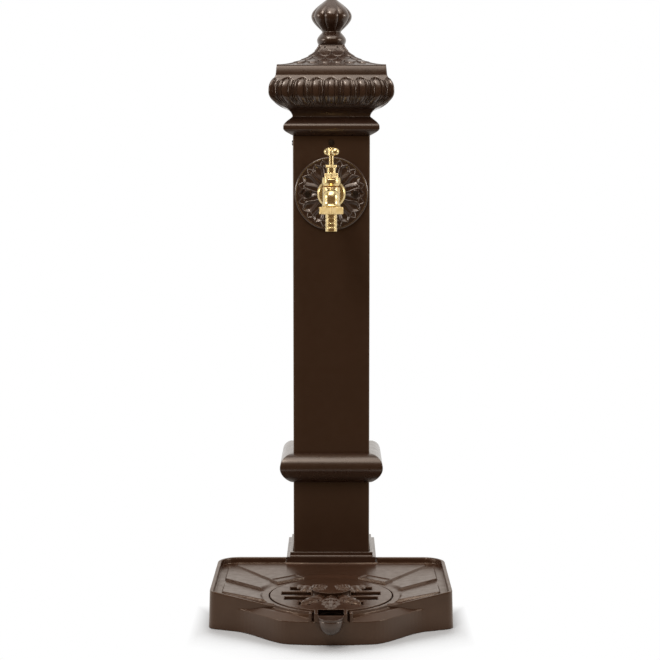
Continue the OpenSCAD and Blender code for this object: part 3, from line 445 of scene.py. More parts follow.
def crest(distance, width):
    """A ridge with straight sides, 1 on its line and 0 past half its width."""
    return np.clip(1.0 - 2.0 * np.abs(distance) / width, 0.0, 1.0)


def arc_lengths(profile):
    """Length along a profile up to each of its points."""
    steps = np.hypot(*np.diff(profile, axis=0).T)
    return np.concatenate([[0.0], np.cumsum(steps)])


def profile_normals(profile):
    """Outward normals of a profile that runs from bottom to top."""
    run = np.gradient(profile, axis=0)
    run /= np.maximum(np.hypot(run[:, 0], run[:, 1]), 1e-9)[:, None]
    return np.stack([run[:, 1], -run[:, 0]], axis=1)


def square_rows(profile, corner, side_steps, relief=None, corner_steps=6):
    """Rows of a moulding that runs round a square with rounded corners.

    profile holds half widths and heights. relief(share, half, length) gives the height of the ornament
    from the place along the side, from 0 to 1, the half width and the length along the profile.
    """
    profile = np.asarray(profile, float)
    normals = profile_normals(profile)
    lengths = arc_lengths(profile)
    bend = np.linspace(0.0, math.pi / 2, corner_steps + 1)[1:-1]
    rows = []
    for (half, height), (out_part, up_part), length in zip(profile, normals, lengths):
        reach = half - corner
        straight = np.linspace(-reach, reach, side_steps + 1)
        across = np.concatenate([straight, reach + corner * np.sin(bend)])
        outward = np.concatenate([np.full(side_steps + 1, half), reach + corner * np.cos(bend)])
        tilt = np.concatenate([np.zeros(side_steps + 1), bend])
        turned = np.concatenate([straight, reach + corner * bend * 4.0 / math.pi])
        share = (turned / half + 1.0) / 2.0
        lift = np.zeros_like(share) if relief is None else relief(share, half, length)
        points = []
        for side in range(4):
            turn = side * math.pi / 2
            along = np.array([math.cos(turn), math.sin(turn)])
            out = np.array([math.sin(turn), -math.cos(turn)])
            flat = across[:, None] * along + outward[:, None] * out
            facing = np.sin(tilt)[:, None] * along + np.cos(tilt)[:, None] * out
            flat = flat + facing * (lift * out_part)[:, None]
            points.append(np.column_stack([flat, height + lift * up_part]))
        rows.append(np.concatenate(points))
    return rows


def round_rows(profile, steps, centre=(0.0, 0.0), radius=None):
    """Rows of a turned form. radius(angle, r, z) can change the radius on the way round."""
    angle = np.linspace(0.0, 2.0 * math.pi, steps, endpoint=False)
    rows = []
    for r, z in profile:
        reach = np.full(steps, r) if radius is None else radius(angle, r, z)
        rows.append(np.column_stack([
            centre[0] + reach * np.cos(angle), centre[1] + reach * np.sin(angle), np.full(steps, z)]))
    return rows


def with_modifiers(mesh, **kinds):
    """A copy of a mesh with modifiers made real, given as kind and their values."""
    shape = bpy.data.objects.new(mesh.name, mesh)
    scene.collection.objects.link(shape)
    for kind, values in kinds.items():
        modifier = shape.modifiers.new(kind, kind)
        for key, value in values.items():
            setattr(modifier, key, value)
    done = bpy.data.meshes.new_from_object(shape.evaluated_get(bpy.context.evaluated_depsgraph_get()))
    bpy.data.objects.remove(shape)
    bpy.data.meshes.remove(mesh)
    return done


def softened(name, nodes, material, body, voxel, passes, extra=(), change=None, sharp=70.0):
    """A copy of CAD nodes with rounded edges, as a casting has, and further forms melted into it.

    voxel is the fineness in millimetres and passes the number of smoothing steps. extra holds points in
    millimetres and faces, and change(points) can move the points before they are smoothed.
    """
    work = bmesh.new()
    for node in nodes:
        part_mesh = frame["nodes"][node].data.copy()
        part_mesh.transform(frame["nodes"][node].matrix_world)
        work.from_mesh(part_mesh)
        bpy.data.meshes.remove(part_mesh)
    for points, faces in extra:
        corners = [work.verts.new(Vector(point) * MM) for point in points]
        for face in faces:
            work.faces.new([corners[i] for i in face])
    bmesh.ops.remove_doubles(work, verts=work.verts, dist=WELD)
    form = bpy.data.meshes.new(name + "_form")
    work.to_mesh(form)
    work.free()
    done = with_modifiers(form, REMESH={"mode": "VOXEL", "voxel_size": voxel * MM})
    if change is not None:
        points = np.empty(len(done.vertices) * 3)
        done.vertices.foreach_get("co", points)
        done.vertices.foreach_set("co", (change(points.reshape(-1, 3) / MM) * MM).ravel())
    done = with_modifiers(done, SMOOTH={"factor": 0.5, "iterations": passes})
    done.name = name
    return place(bpy.data.objects.new(name, done), material, body, *nodes, sharp=sharp)


# Column and foot

COLUMN_CORNER = 2.2
COLUMN_WALL = 4.0


def make_column():
    """The square tube with rounded corners and a thin edge at its ends."""
    edge = 0.6
    inner = COLUMN_HALF - COLUMN_WALL
    outside = [
        (COLUMN_HALF - edge, COLUMN_LOW), (COLUMN_HALF, COLUMN_LOW + edge),
        (COLUMN_HALF, COLUMN_TOP - edge), (COLUMN_HALF - edge, COLUMN_TOP)]
    profile = outside + [(inner, COLUMN_TOP), (inner, COLUMN_LOW), outside[0]]
    rows = square_rows(profile, COLUMN_CORNER, side_steps=8)
    piece("column_tube", rows, TUBE, "stand", "column", caps=False)


def make_foot():
    """The stepped foot with soft edges."""
    softened("foot_block", ["foot"], IRON, "stand", voxel=1.0, passes=2)


COLLAR_LIP, COLLAR_FIT, COLLAR_MID, COLLAR_BEND = 1.4, 0.3, 0.55, 0.7


def make_collar():
    """The collar: a drawn-in foot and a round shoulder."""
    base, top = low("column_collar")[2], high("column_collar")[2]
    inner, lip = COLUMN_HALF + COLLAR_FIT, COLUMN_HALF + COLLAR_LIP
    reach = high("column_collar")[0] - lip
    profile = [(inner, base), (lip, base)]
    for share in np.linspace(0.02, 1.0, 40):
        if share < COLLAR_MID:
            swell = math.cos(math.pi / 2 * (COLLAR_MID - share) / COLLAR_MID) ** COLLAR_BEND
        else:
            swell = math.sqrt(max(0.0, 1.0 - ((share - COLLAR_MID) / (1.0 - COLLAR_MID)) ** 2))
        profile.append((lip + reach * swell, base + (top - base) * share))
    profile += [(inner, top), (inner, base)]
    rows = square_rows(profile, corner=1.0, side_steps=10)
    piece("collar_cast", rows, IRON, "stand", "column_collar", caps=False)


# Capital, roof and finial

TORUS_H, TORUS_OUT, TORUS_LOW, TORUS_BAND, TORUS_BEND = 27.0, 13.4, 10.0, 2.4, 1.2
NECK_FIT, NECK_H, NECK_OUT, NECK_BEND = 0.5, 11.0, 7.4, 1.8
ECHINUS_H, ECHINUS_LOW, LOWER_BEND, UPPER_BEND = 44.0, 24.2, 2.45, 2.5
FASCIA_HALF, FASCIA_TAPER, FASCIA_FLARE, FLARE_RISE = 78.75, 1.5, 1.0, 4.0
FLARE_DIP, TOP_BEVEL_W, TOP_BEVEL_H = 0.3, 0.5, 0.7
EGGS = 8
EGG_SIZE, EGG_GROOVE, EGG_RISE = 0.29, 1.3, 1.7
EGG_BORDER, BORDER_RISE = 1.4, 2.2
DART_PLACE, DART_W, DART_RISE = 1.3, 1.5, 1.9
EGG_INSET, EGG_DROP = 1.6, 2.2
EGG_FADE, DART_FADE, INSET_RUN = (2.0, 24.0), (0.5, 5.0), 2.0


def capital_profile():
    """Half widths and heights of the capital, and the first and last point of its swelling part."""
    neck_half = COLUMN_HALF + NECK_FIT
    foot_half = neck_half + NECK_OUT
    belly = high("capital")[0]
    rise = np.linspace(0.0, 1.0, 17)
    torus = [(COLUMN_HALF + TORUS_OUT * math.sin(math.pi / 2 * t), TORUS_LOW * t) for t in rise]
    bevel = TORUS_LOW + TORUS_BAND
    swell = COLUMN_HALF + TORUS_OUT - neck_half
    torus += [(neck_half + swell * math.cos(math.pi / 2 * t) ** TORUS_BEND, bevel + (TORUS_H - bevel) * t)
              for t in rise]
    neck = [(neck_half + NECK_OUT * t ** NECK_BEND, TORUS_H + NECK_H * t)
            for t in np.linspace(0.0, 1.0, 12)[1:]]
    foot = TORUS_H + NECK_H
    echinus = [(belly - (belly - foot_half) * (1.0 - t) ** LOWER_BEND, foot + ECHINUS_LOW * t)
               for t in np.linspace(0.0, 1.0, 40)[1:]]
    flare = FASCIA_HALF + FASCIA_FLARE
    belly_z, sill, top = foot + ECHINUS_LOW, foot + ECHINUS_H, high("capital")[2] - COLUMN_TOP
    echinus += [(belly - (belly - flare) * t ** UPPER_BEND, belly_z + (sill - belly_z) * t)
                for t in np.linspace(0.0, 1.0, 26)[1:]]
    fascia = [(FASCIA_HALF - FLARE_DIP + (FASCIA_FLARE + FLARE_DIP) * (1.0 - t) ** 2, sill + FLARE_RISE * t)
              for t in np.linspace(0.0, 1.0, 9)[1:]]
    upper = FASCIA_HALF - FASCIA_TAPER
    fascia += [(upper, top - TOP_BEVEL_H), (upper - TOP_BEVEL_W, top)]
    line = np.array(torus + neck + echinus + fascia) + [0.0, COLUMN_TOP]
    return line, len(torus) + len(neck), len(torus) + len(neck) + len(echinus)


def make_capital():
    """The capital with eggs in raised borders round its swelling, and two thin darts between them."""
    line, start, end = capital_profile()
    lengths = arc_lengths(line)
    foot, sill = lengths[start], lengths[end - 1]
    crown = sill - EGG_DROP

    def eggs(share, half, length):
        if not foot <= length <= sill:
            return np.zeros_like(share)
        pitch = 2.0 * half / EGGS
        across = np.abs(share * EGGS - np.round(share * EGGS)) * pitch
        border = EGG_SIZE * pitch
        away = np.hypot(across, max(0.0, length - (crown - border)))
        egg = EGG_RISE * np.sqrt(np.clip(1.0 - (away / (border - EGG_GROOVE)) ** 2, 0.0, 1.0))
        rim = BORDER_RISE * ridge(away - border + EGG_BORDER / 2.0, EGG_BORDER)
        dart = DART_RISE * ridge(pitch / 2.0 - across - DART_PLACE, DART_W)
        dart = dart * step(crown - length, *DART_FADE)
        beyond = EGG_INSET * step(away, border, border + INSET_RUN) * step(length, crown - border, crown)
        fade = step(length - foot, *EGG_FADE)
        return (np.maximum(np.maximum(egg, rim), np.maximum(dart, beyond)) - EGG_INSET) * fade

    rows = square_rows(line, corner=1.4, side_steps=40 * EGGS, relief=eggs, corner_steps=8)
    piece("capital_cast", rows, IRON, "stand", "capital", sharp=55.0)


ROOF_EDGE, ROOF_BEND, EAVE_BEVEL = 1.0, 3.1, 0.3
ROOF_TOP = 18.2
SCALE_W, SCALE_ROWS, SCALE_RISE = 18.0, 4, 2.0
SCALE_START, SCALE_EDGE, SCALE_TAPER, SCALE_LAP = 0.3, 0.16, 0.42, 1.6
HIP_W, HIP_RISE = 5.0, 1.0


def make_roof():
    """The concave roof with rows of fish scales between plain hips."""
    base, top = low("capital_roof")[2], high("capital_roof")[2]
    eave = high("capital_roof")[0]
    turn = np.linspace(0.0, math.pi / 2, 160)
    fine = np.column_stack([
        ROOF_TOP + (eave - ROOF_TOP) * np.cos(turn) ** ROOF_BEND,
        base + ROOF_EDGE + (top - base - ROOF_EDGE) * np.sin(turn) ** ROOF_BEND])
    run = arc_lengths(fine)
    places = np.linspace(0.0, run[-1], 110)
    curve = np.column_stack([np.interp(places, run, fine[:, 0]), np.interp(places, run, fine[:, 1])])
    line = np.vstack([[(eave - EAVE_BEVEL, base), (eave, base + EAVE_BEVEL)], curve])
    lengths = arc_lengths(line)
    first, last = lengths[2] + SCALE_START * run[-1], lengths[-1]
    depth = (last - first) / SCALE_ROWS

    def scales(along, half, length):
        across = (along - 0.5) * 2.0 * half
        hip = np.clip(half - np.abs(across), 0.0, None)
        lift = np.zeros_like(across)
        for row in range(SCALE_ROWS):
            tip = first + row * depth
            down = (length - tip) / depth
            if not 0.0 <= down <= SCALE_LAP:
                continue
            shift = 0.5 * (row % 2)
            centre = (np.floor(across / SCALE_W + shift) + 0.5 - shift) * SCALE_W
            aside = np.abs(across - centre) / (SCALE_W / 2.0)
            bottom = 1.0 - np.sqrt(np.clip(1.0 - aside ** 2, 0.0, 1.0))
            inside = step(down - bottom, 0.0, SCALE_EDGE)
            height = SCALE_RISE * (1.0 - SCALE_TAPER * np.clip(down, 0.0, SCALE_LAP)) * inside
            lift = np.maximum(lift, height)
        ends = step(length, first - 1.0, first + 0.5) * step(last - length, 0.5, 2.5)
        return lift * step(hip, HIP_W / 2.0, HIP_W / 2.0 + 2.0) * ends + HIP_RISE * ridge(hip, HIP_W)

    rows = square_rows(line, corner=0.8, side_steps=190, relief=scales)
    piece("roof_cast", rows, IRON, "stand", "capital_roof", sharp=60.0)


LOBES = 8
LOBE_DEPTH = 0.10
RING_R, FINIAL_NECK_R, FINIAL_TIP_R = 21.1, 13.4, 1.5
RING_SHARE, NECK_SHARE, BULB_SHARE = 0.105, 0.275, 0.585
RING_BEND, BULB_BEND, ONION_BEND, ONION_TURN = 1.2, 1.15, 1.35, 84.0


def make_finial():
    """The finial: a ring, a neck and an onion with round lobes and a plain tip."""
    base, tip = low("finial")[2], high("finial")[2]
    tall, wide = tip - base, high("finial")[0]
    belly, neck, bulb = RING_SHARE * tall, NECK_SHARE * tall, BULB_SHARE * tall
    rise = np.linspace(0.0, 1.0, 25)[1:]
    quarter = math.pi / 2
    line = [(ROOF_TOP, 0.0)]
    line += [(ROOF_TOP + (RING_R - ROOF_TOP) * math.sin(quarter * t), belly * t) for t in rise]
    line += [(FINIAL_NECK_R + (RING_R - FINIAL_NECK_R) * max(0.0, math.cos(quarter * t)) ** RING_BEND,
              belly + (neck - belly) * t) for t in rise]
    line += [(FINIAL_NECK_R + (wide - FINIAL_NECK_R) * math.sin(quarter * t) ** BULB_BEND,
              neck + (bulb - neck) * t) for t in rise]
    line += [(FINIAL_TIP_R + (wide - FINIAL_TIP_R) * math.cos(math.radians(ONION_TURN) * t) ** ONION_BEND,
              bulb + (tall - 1.2 - bulb) * t) for t in rise]
    line += [(2.0, tall - 0.6), (0.8, tall)]
    line = np.array(line) + [0.0, base]
    start, end = base + neck, base + 0.97 * tall

    def lobes(angle, r, z):
        fade = float(step(z, start, start + 0.10 * tall)) * float(step(end - z, 0.0, 0.35 * tall))
        depth = LOBE_DEPTH * fade
        return r * (1.0 - depth * (1.0 - np.abs(np.cos(LOBES / 2.0 * angle)) ** 0.5))

    piece("finial_cast", round_rows(line, 192, radius=lobes), IRON, "stand", "finial", sharp=70.0)


# Rosette

PETALS = 12
PLATE_T = 3.0
HOLE_R = 10.9
BEAD_W, BEAD_RISE = 3.0, 1.1
PETAL_START, PETAL_END, PETAL_HALF = 19.0, 47.5, 8.6
OUTLINE_W, OUTLINE_RISE = 2.0, 0.8
DISH_W, DISH_DEPTH = 4.2, 1.8
TIP_START, TIP_HALF = 39.0, 6.0
PETAL_WIDEST, TIP_WIDEST, PETAL_GAP = 0.70, 0.15, 0.8
LEAF_NECK, LEAF_POINT = 0.34, 1.5
SEAT_R, SEAT_RUN = 5.0, 1.5


def leaf_depth(x, y, start, end, half, widest):
    """How far a point lies inside a leaf that widens from its start and closes at its end."""
    share = (x - start) / (end - start)
    opening = LEAF_NECK + (1.0 - LEAF_NECK) * step(share, 0.0, widest)
    closing = 1.0 - np.clip((share - widest) / (1.0 - widest), 0.0, 1.0) ** LEAF_POINT
    return np.minimum(half * opening * closing - np.abs(y), np.minimum(x - start, end - x))


def make_rosette():
    """The round plate behind the tap: a rim, hollow petals with outlines and leaf tips between them."""
    outer = high("rosette")[0]
    centre = (low("rosette")[2] + high("rosette")[2]) / 2.0
    seat = -low("rosette")[1] - COLUMN_HALF
    screw = high("rosette_screws")[0] - (high("rosette_screws")[2] - low("rosette_screws")[2]) / 2.0
    angle = np.linspace(0.0, 2.0 * math.pi, 840, endpoint=False)
    pitch = 2.0 * math.pi / PETALS
    to_petal = (angle + pitch / 2.0) % pitch - pitch / 2.0
    to_gap = angle % pitch - pitch / 2.0

    def height(r):
        x, y = r * np.cos(to_petal), r * np.sin(to_petal)
        petal = leaf_depth(x, y, PETAL_START, PETAL_END, PETAL_HALF, PETAL_WIDEST)
        x, y = r * np.cos(to_gap), r * np.sin(to_gap)
        tip = leaf_depth(x, y, TIP_START, outer - BEAD_W, TIP_HALF, TIP_WIDEST)
        tip = np.where(petal > -PETAL_GAP, -1.0, tip)
        lift = OUTLINE_RISE * crest(tip - OUTLINE_W / 2.0, OUTLINE_W)
        lift = np.maximum(lift, OUTLINE_RISE * crest(petal - OUTLINE_W / 2.0, OUTLINE_W))
        lift = np.maximum(lift, BEAD_RISE * crest(outer - BEAD_W / 2.0 - r, BEAD_W))
        lift -= DISH_DEPTH * step(petal - OUTLINE_W, 0.0, DISH_W)
        x, z = r * np.cos(angle), r * np.sin(angle)
        near = np.minimum(np.hypot(x - screw, z), np.hypot(x + screw, z))
        hold = step(SEAT_R + SEAT_RUN - near, 0.0, SEAT_RUN)
        return PLATE_T + lift * (1.0 - hold) + (seat - PLATE_T) * hold

    def ring(r, lift):
        return np.column_stack([r * np.cos(angle), -COLUMN_HALF - lift, centre + r * np.sin(angle)])

    flat = np.zeros_like(angle)
    rows = [ring(HOLE_R, flat)]
    rows += [ring(r, height(r)) for r in np.linspace(HOLE_R, outer - 0.05, 130)]
    rows += [ring(outer, flat), rows[0]]
    piece("rosette_cast", rows, IRON, "stand", "rosette", caps=False, sharp=80.0)


# Tap

FLARE_OUT, FLARE_H, FLARE_REACH = 1.6, 6.0, 13.0
THREAD_SEEN = 1.8
BONNET_H, BONNET_R, BONNET_CHAMFER = 12.0, 13.25, 2.0
SHOULDER_DROP, BONNET_GROOVE, BONNET_GROOVE_W = 0.3, 0.5, 1.4
SHOULDER_SHARE, CHAMFER_SHARE, GROOVE_PLACE = 0.6, 0.35, 0.84
BONNET_SKIN = 2.0


def middle_of(node):
    """Middle of a node seen from above, in millimetres."""
    return (low(node)[:2] + high(node)[:2]) / 2.0


def pushed_out(points, centre, reach):
    """Points moved away from an upright axis by reach, in millimetres."""
    away = points[:, :2] - centre
    points[:, :2] += away * (reach / np.maximum(np.hypot(away[:, 0], away[:, 1]), 1.0))[:, None]
    return points


def make_tap():
    """The brass pieces of the tap with rounded edges, a flared outlet and a bonnet with a groove."""
    outlet, spindle = middle_of("union_nut"), middle_of("tap_bonnet")
    thread_top = high("union_nut")[2] + THREAD_SEEN
    bonnet_low = high("bonnet_washer")[2]

    def flare(points):
        rise = (points[:, 2] - thread_top) / FLARE_H
        near = np.hypot(points[:, 0] - outlet[0], points[:, 1] - outlet[1]) < FLARE_REACH
        on = near & (rise >= 0.0) & (rise <= 1.0)
        return pushed_out(points, outlet, np.where(on, FLARE_OUT * (1.0 - rise) ** 2, 0.0))

    def turned(points):
        share = (points[:, 2] - bonnet_low) / BONNET_H
        r = np.hypot(points[:, 0] - spindle[0], points[:, 1] - spindle[1])
        on = (share >= 0.0) & (share <= 1.02) & (r > BONNET_R - BONNET_SKIN)
        above = np.clip((share - SHOULDER_SHARE) / (1.0 - SHOULDER_SHARE), 0.0, 1.0)
        shoulder = SHOULDER_DROP * above ** 2
        chamfer = BONNET_CHAMFER * np.clip(1.0 - share / CHAMFER_SHARE, 0.0, 1.0)
        groove = BONNET_GROOVE * ridge((share - GROOVE_PLACE) * BONNET_H, BONNET_GROOVE_W)
        return pushed_out(points, spindle, np.where(on, -(shoulder + chamfer + groove), 0.0))

    softened("tap_casting", ["tap_body"], BRASS, "stand", voxel=0.5, passes=6, change=flare)
    softened("bonnet_turned", ["tap_bonnet"], BRASS, "stand", voxel=0.3, passes=3, change=turned)
    softened("gland_turned", ["gland_nut"], BRASS, "stand", voxel=0.25, passes=3)
    softened("handle_cast", ["tee_handle"], BRASS, "spindle", voxel=0.25, passes=4)
    softened("tail_turned", ["hose_tail"], BRASS, "hose_coupling", voxel=0.25, passes=4)
    softened("nut_turned", ["union_nut"], NUT, "union_nut", voxel=0.3, passes=3)


# Tray: a dished deck with a fan of sloping pads on each side

GRATE_Y = -234.0
RECESS_R, RING_R_OUT, DRUM_R = 84.0, 92.0, 90.0
DECK_Z, UPPER_Z, GUTTER_Z, CHANNEL_Z = 42.5, 44.8, 43.0, 42.0
DECK_SLOPE, DECK_UNDER = 0.05, 39.0
RIM_W, TRAY_BACK, BACK_R = 5.0, -50.0, 30.0
FRONT_ANGLE, SHOULDER = 21.5, (74.9, -283.9)
LIP_W, LIP_LOW, LIP_START = 3.5, 41.0, 84.0
# Front edges of the back deck, the middle pad and the lower pad, each from its inner to its outer end
RAYS = (
    ((80.0, -163.0), (132.0, -81.0)),
    ((97.0, -207.0), (147.0, -156.0)),
    ((84.5, -273.0), (144.0, -231.0)))
PAD_END, UPPER_END, UPPER_BACK = 148.0, 136.0, -62.0
PAD_FRONT, PAD_FALL = 46.0, 3.4
RAMP_RUN, PAD_RUN, MID_PAD_MORE, MID_PAD_BLEND = 14.0, 5.0, 7.0, 2.0
LUG_ANGLE, LUG_HALF, LUG_IN, LUG_OUT = 53.0, 23.0, 92.5, 113.0
LUG_EDGE, LUG_TOP, LUG_SINK = 2.6, 45.6, 1.0
STEEP = 0.3
TRAY_DRAFT = 1.6
BULGE_TOP, BULGE_RISE, BULGE_RUN = 31.0, 6.5, 15.0
BULGE_SIDE, BULGE_SKIN = 30.0, 1.2
EDGE_SLACK, WALL_W, RECESS_SKIN = 0.8, 1.2, 0.7
POCKET_CLEAR, NOTCH_CLEAR, NOTCH_START = 2.5, 12.0, 70.0


def behind(x, y, inner, outer):
    """Distance of points behind a line that runs outwards."""
    along = np.subtract(outer, inner) / math.dist(inner, outer)
    return (y - inner[1]) * along[0] - (x - inner[0]) * along[1]


def blend(first, second, distance):
    """One height before a line and another after it, with a steep face between them."""
    return first + (second - first) * step(distance, -STEEP, STEEP)


def edge_distances(x, y):
    """Distances of points inside the tray's side and back edges, and inside its slanted front edge."""
    half = high("drip_tray")[0]
    aside, back = x - (half - BACK_R), y - (TRAY_BACK - BACK_R)
    corner = (aside > 0.0) & (back > 0.0)
    sides = np.where(corner, BACK_R - np.hypot(aside, back), np.minimum(half - x, TRAY_BACK - y))
    slant = math.radians(FRONT_ANGLE)
    front = (y - SHOULDER[1] - (x - SHOULDER[0]) * math.tan(slant)) * math.cos(slant)
    return sides, front


def deck_height(x, y):
    """Height of the deck's top at points on the right half of the tray."""
    r = np.hypot(x, y - GRATE_Y)
    upper, middle, lower = (behind(x, y, *ray) for ray in RAYS)
    ramp_up = DECK_Z + (UPPER_Z - DECK_Z) * step(r, RING_R_OUT, RING_R_OUT + RAMP_RUN)
    mid_pad = PAD_FRONT - PAD_FALL * np.clip(middle / np.maximum(middle - upper, 1e-6), 0.0, 1.0)
    low_pad = PAD_FRONT - PAD_FALL * np.clip(lower / np.maximum(lower - middle, 1e-6), 0.0, 1.0)
    height = blend(CHANNEL_Z, low_pad, lower)
    height = blend(height, mid_pad, middle)
    inner_end = RING_R_OUT + PAD_RUN + MID_PAD_MORE * step(middle, -MID_PAD_BLEND, MID_PAD_BLEND)
    height = DECK_Z + (height - DECK_Z) * step(r, RING_R_OUT, inner_end)
    height = blend(height, GUTTER_Z, x - PAD_END)
    back_deck = blend(blend(ramp_up, GUTTER_Z, x - UPPER_END), GUTTER_Z, y - UPPER_BACK)
    height = blend(height, back_deck, upper)
    turn = math.radians(LUG_ANGLE)
    out = x * math.cos(turn) + (y - GRATE_Y) * math.sin(turn)
    aside = np.abs((y - GRATE_Y) * math.cos(turn) - x * math.sin(turn))
    lug = np.minimum(np.minimum(LUG_HALF - aside, out - LUG_IN), LUG_OUT - out)
    height = blend(height, LUG_TOP, lug)
    height = blend(height, LUG_TOP - LUG_SINK, lug - LUG_EDGE)
    height = blend(DECK_Z, height, r - RING_R_OUT)
    sides, front = edge_distances(x, y)
    rim = high("drip_tray")[2]
    lip_run = high("drip_tray")[0] - RIM_W - LIP_START
    lip = LIP_LOW + (rim - LIP_LOW) * np.clip((x - LIP_START) / lip_run, 0.0, 1.0)
    height = np.where(x > SHOULDER[0], blend(lip, height, front - LIP_W), height)
    return blend(rim, height, sides - RIM_W)


def bulge_front(x):
    """Depth of the lower bulge's front edge, read off the tray's CAD mesh at several half widths."""
    mesh = frame["nodes"]["drip_tray"].data
    points = np.empty(len(mesh.vertices) * 3)
    mesh.vertices.foreach_get("co", points)
    points = points.reshape(-1, 3) / MM
    low_edge = points[(points[:, 2] < 1.0) & (points[:, 1] < GRATE_Y) & (points[:, 0] >= 0.0)]
    places = np.unique(np.round(low_edge[:, 0]))
    fronts = [low_edge[np.round(low_edge[:, 0]) == place_x][:, 1].min() for place_x in places]
    return np.interp(x, places, fronts)


def make_tray():
    """The tray casting with the fan of pads, soft edges and walls that lean out towards the ground."""
    rim, half = high("drip_tray")[2], high("drip_tray")[0]
    pocket = high("foot")[0] + POCKET_CLEAR
    notch = high("grate_knob")[0] + NOTCH_CLEAR

    def cast(points):
        x, y, z = np.abs(points[:, 0]), points[:, 1], points[:, 2]
        r = np.hypot(x, y - GRATE_Y)
        sides, front = edge_distances(x, y)
        on_drum = x <= SHOULDER[0]
        edge = np.where(on_drum & (y < GRATE_Y), np.minimum(sides, DRUM_R - r), np.minimum(sides, front))
        deck = (edge > -EDGE_SLACK) & (r > RECESS_R + RECESS_SKIN) & (z > DECK_UNDER)
        deck &= ~((x < pocket) & (y > -pocket)) & ~((x < notch) & (y < GRATE_Y - NOTCH_START))
        top = deck_height(x, y)
        before = np.where(sides < front, rim, DECK_Z + DECK_SLOPE * (r - RECESS_R))
        wall = DECK_UNDER + (z - DECK_UNDER) * (top - DECK_UNDER) / (before - DECK_UNDER)
        raised = np.minimum(np.where(edge < WALL_W, wall, top), rim)
        bulge = (edge < -EDGE_SLACK) & (z > BULGE_TOP - BULGE_SKIN) & (y < GRATE_Y)
        bulge &= (x > notch) & (x < half - BULGE_SIDE)
        slope = BULGE_TOP + BULGE_RISE * np.clip((y - bulge_front(x)) / BULGE_RUN, 0.0, 1.0)
        points[:, 2] = np.where(deck, raised, np.where(bulge, slope, z))
        lean = TRAY_DRAFT * (1.0 - points[:, 2] / rim)
        points[:, 0] *= 1.0 + lean / half
        return points

    softened("tray_cast", ["drip_tray"], DECK, "stand", voxel=0.7, passes=1, change=cast)


# Grate and knob

GRATE_TOP = 43.5
BOSS_TOP = 52.5
LEAF_LOBES, LOBE_SHARE = 4, 0.38
LEAF_START, LEAF_BEND, LEAF_EDGE = 0.10, 0.7, 0.75
MIDRIB_RISE, MIDRIB_W = 0.9, 0.14
VEIN_DEPTH, VEIN_SLANT = 1.3, 0.10
LEAF_UNDER = 1.5
ARM_RISE, PATCH_RISE = 5.0, 2.6
# Angle in degrees, inner and outer radius, width, height of the base and rise of each leaf
LEAVES = (
    (40.0, 12.0, 62.0, 26.0, GRATE_TOP, ARM_RISE), (140.0, 12.0, 62.0, 26.0, GRATE_TOP, ARM_RISE),
    (234.0, 12.0, 67.0, 24.0, GRATE_TOP, ARM_RISE), (306.0, 12.0, 67.0, 24.0, GRATE_TOP, ARM_RISE),
    (270.0, 12.0, 77.0, 26.0, GRATE_TOP, ARM_RISE),
    (20.0, 7.0, 27.0, 30.0, BOSS_TOP, PATCH_RISE), (160.0, 7.0, 27.0, 30.0, BOSS_TOP, PATCH_RISE),
    (-22.0, 9.0, 27.0, 18.0, BOSS_TOP, PATCH_RISE), (202.0, 9.0, 27.0, 18.0, BOSS_TOP, PATCH_RISE),
)


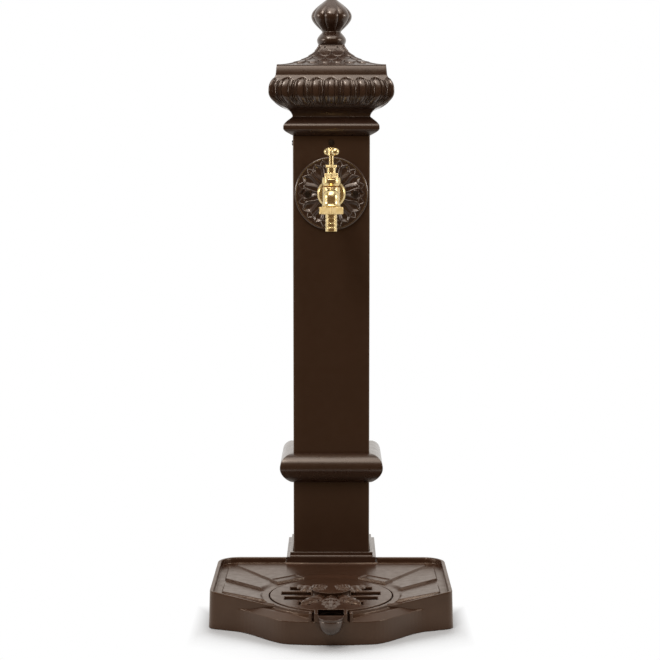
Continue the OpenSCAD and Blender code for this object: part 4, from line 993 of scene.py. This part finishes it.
def leaf_form(turn, start, end, width, base, rise):
    """A closed lobed leaf between two radii of the grate, as points in millimetres and faces."""
    along, across = np.meshgrid(np.linspace(0.0, 1.0, 64), np.linspace(-1.0, 1.0, 33), indexing="ij")
    lobe = np.abs(np.sin(LEAF_LOBES * math.pi * along))
    spread = np.sin(math.pi * np.clip(LEAF_START + (1.0 - LEAF_START) * along, 0.0, 1.0)) ** LEAF_BEND
    half = np.maximum(width / 2.0 * spread * (1.0 - LOBE_SHARE + LOBE_SHARE * lobe), 0.4)
    bend = np.abs(across)
    veins = np.abs(np.sin(LEAF_LOBES * math.pi * (along + VEIN_SLANT * bend)))
    swell = rise * (0.55 + 0.45 * np.sin(math.pi * along ** 0.8)) * (1.0 - LEAF_EDGE * bend ** 2)
    swell += MIDRIB_RISE * np.exp(-(across / MIDRIB_W) ** 2) - VEIN_DEPTH * (1.0 - veins) * np.sqrt(bend)
    radius = start + (end - start) * along
    side = half * across
    angle = math.radians(turn)
    x = radius * math.cos(angle) - side * math.sin(angle)
    y = GRATE_Y + radius * math.sin(angle) + side * math.cos(angle)
    upper = np.stack([x, y, base + np.maximum(swell, 0.3)], axis=-1).reshape(-1, 3)
    lower = np.stack([x, y, np.full_like(x, base - LEAF_UNDER)], axis=-1).reshape(-1, 3)
    rows, columns = along.shape
    index = np.arange(rows * columns).reshape(rows, columns)
    corners = [index[:-1, :-1], index[1:, :-1], index[1:, 1:], index[:-1, 1:]]
    quads = np.stack(corners, axis=-1).reshape(-1, 4)
    border = np.concatenate([index[0], index[1:, -1], index[-1, -2::-1], index[-2:0:-1, 0]])
    ahead = np.roll(border, -1)
    shift = rows * columns
    walls = np.stack([border, ahead, ahead + shift, border + shift], axis=-1)
    faces = np.concatenate([quads, quads[:, ::-1] + shift, walls])
    return np.concatenate([upper, lower]).tolist(), faces.tolist()


GRATE_T = 5.0
FINGER_Y, FINGER_HALF = -312.0, 16.5
UNDERCUT, UNDERCUT_RUN = 7.0, 14.0


def make_grate():
    """The grate with a boss and leaves melted into it, and its edge undercut over the finger gap."""
    leaves = [leaf_form(*leaf) for leaf in LEAVES]

    def undercut(points):
        x, y, z = points.T
        below = np.clip((GRATE_TOP - z) / GRATE_T, 0.0, 1.0)
        over = (np.abs(x) < FINGER_HALF) & (y > FINGER_Y - 1.0)
        near = step(y, FINGER_Y + UNDERCUT_RUN, FINGER_Y) * over
        points[:, 1] = y + UNDERCUT * below * near
        return points

    softened(
        "grate_cast", ["drain_grate"], DECK, "grate",
        voxel=0.6, passes=2, extra=leaves, change=undercut)


KNOB_AHEAD = 4.0
LIP_T, GROOVE_W, GROOVE_SHARE = 1.6, 2.4, 0.025


def make_knob():
    """The knob: most of a ball with a lip and a groove under its flat top, cut flat at the back."""
    top = high("grate_knob")[2]
    middle = low("grate_knob")[1] + high("grate_knob")[0]

    def groove(points):
        below = top - points[:, 2]
        share = 1.0 - GROOVE_SHARE * ridge(np.abs(below - LIP_T - GROOVE_W / 2.0), GROOVE_W)
        front = points[:, 1] < middle + KNOB_AHEAD
        points[:, 0] *= share
        points[:, 1] = np.where(front, middle + (points[:, 1] - middle) * share, points[:, 1])
        return points

    softened("knob_cast", ["grate_knob"], IRON, "grate", voxel=0.3, passes=4, change=groove)


make_stage()
make_column()
make_foot()
make_collar()
make_capital()
make_roof()
make_finial()
make_rosette()
make_tap()
make_tray()
make_grate()
make_knob()
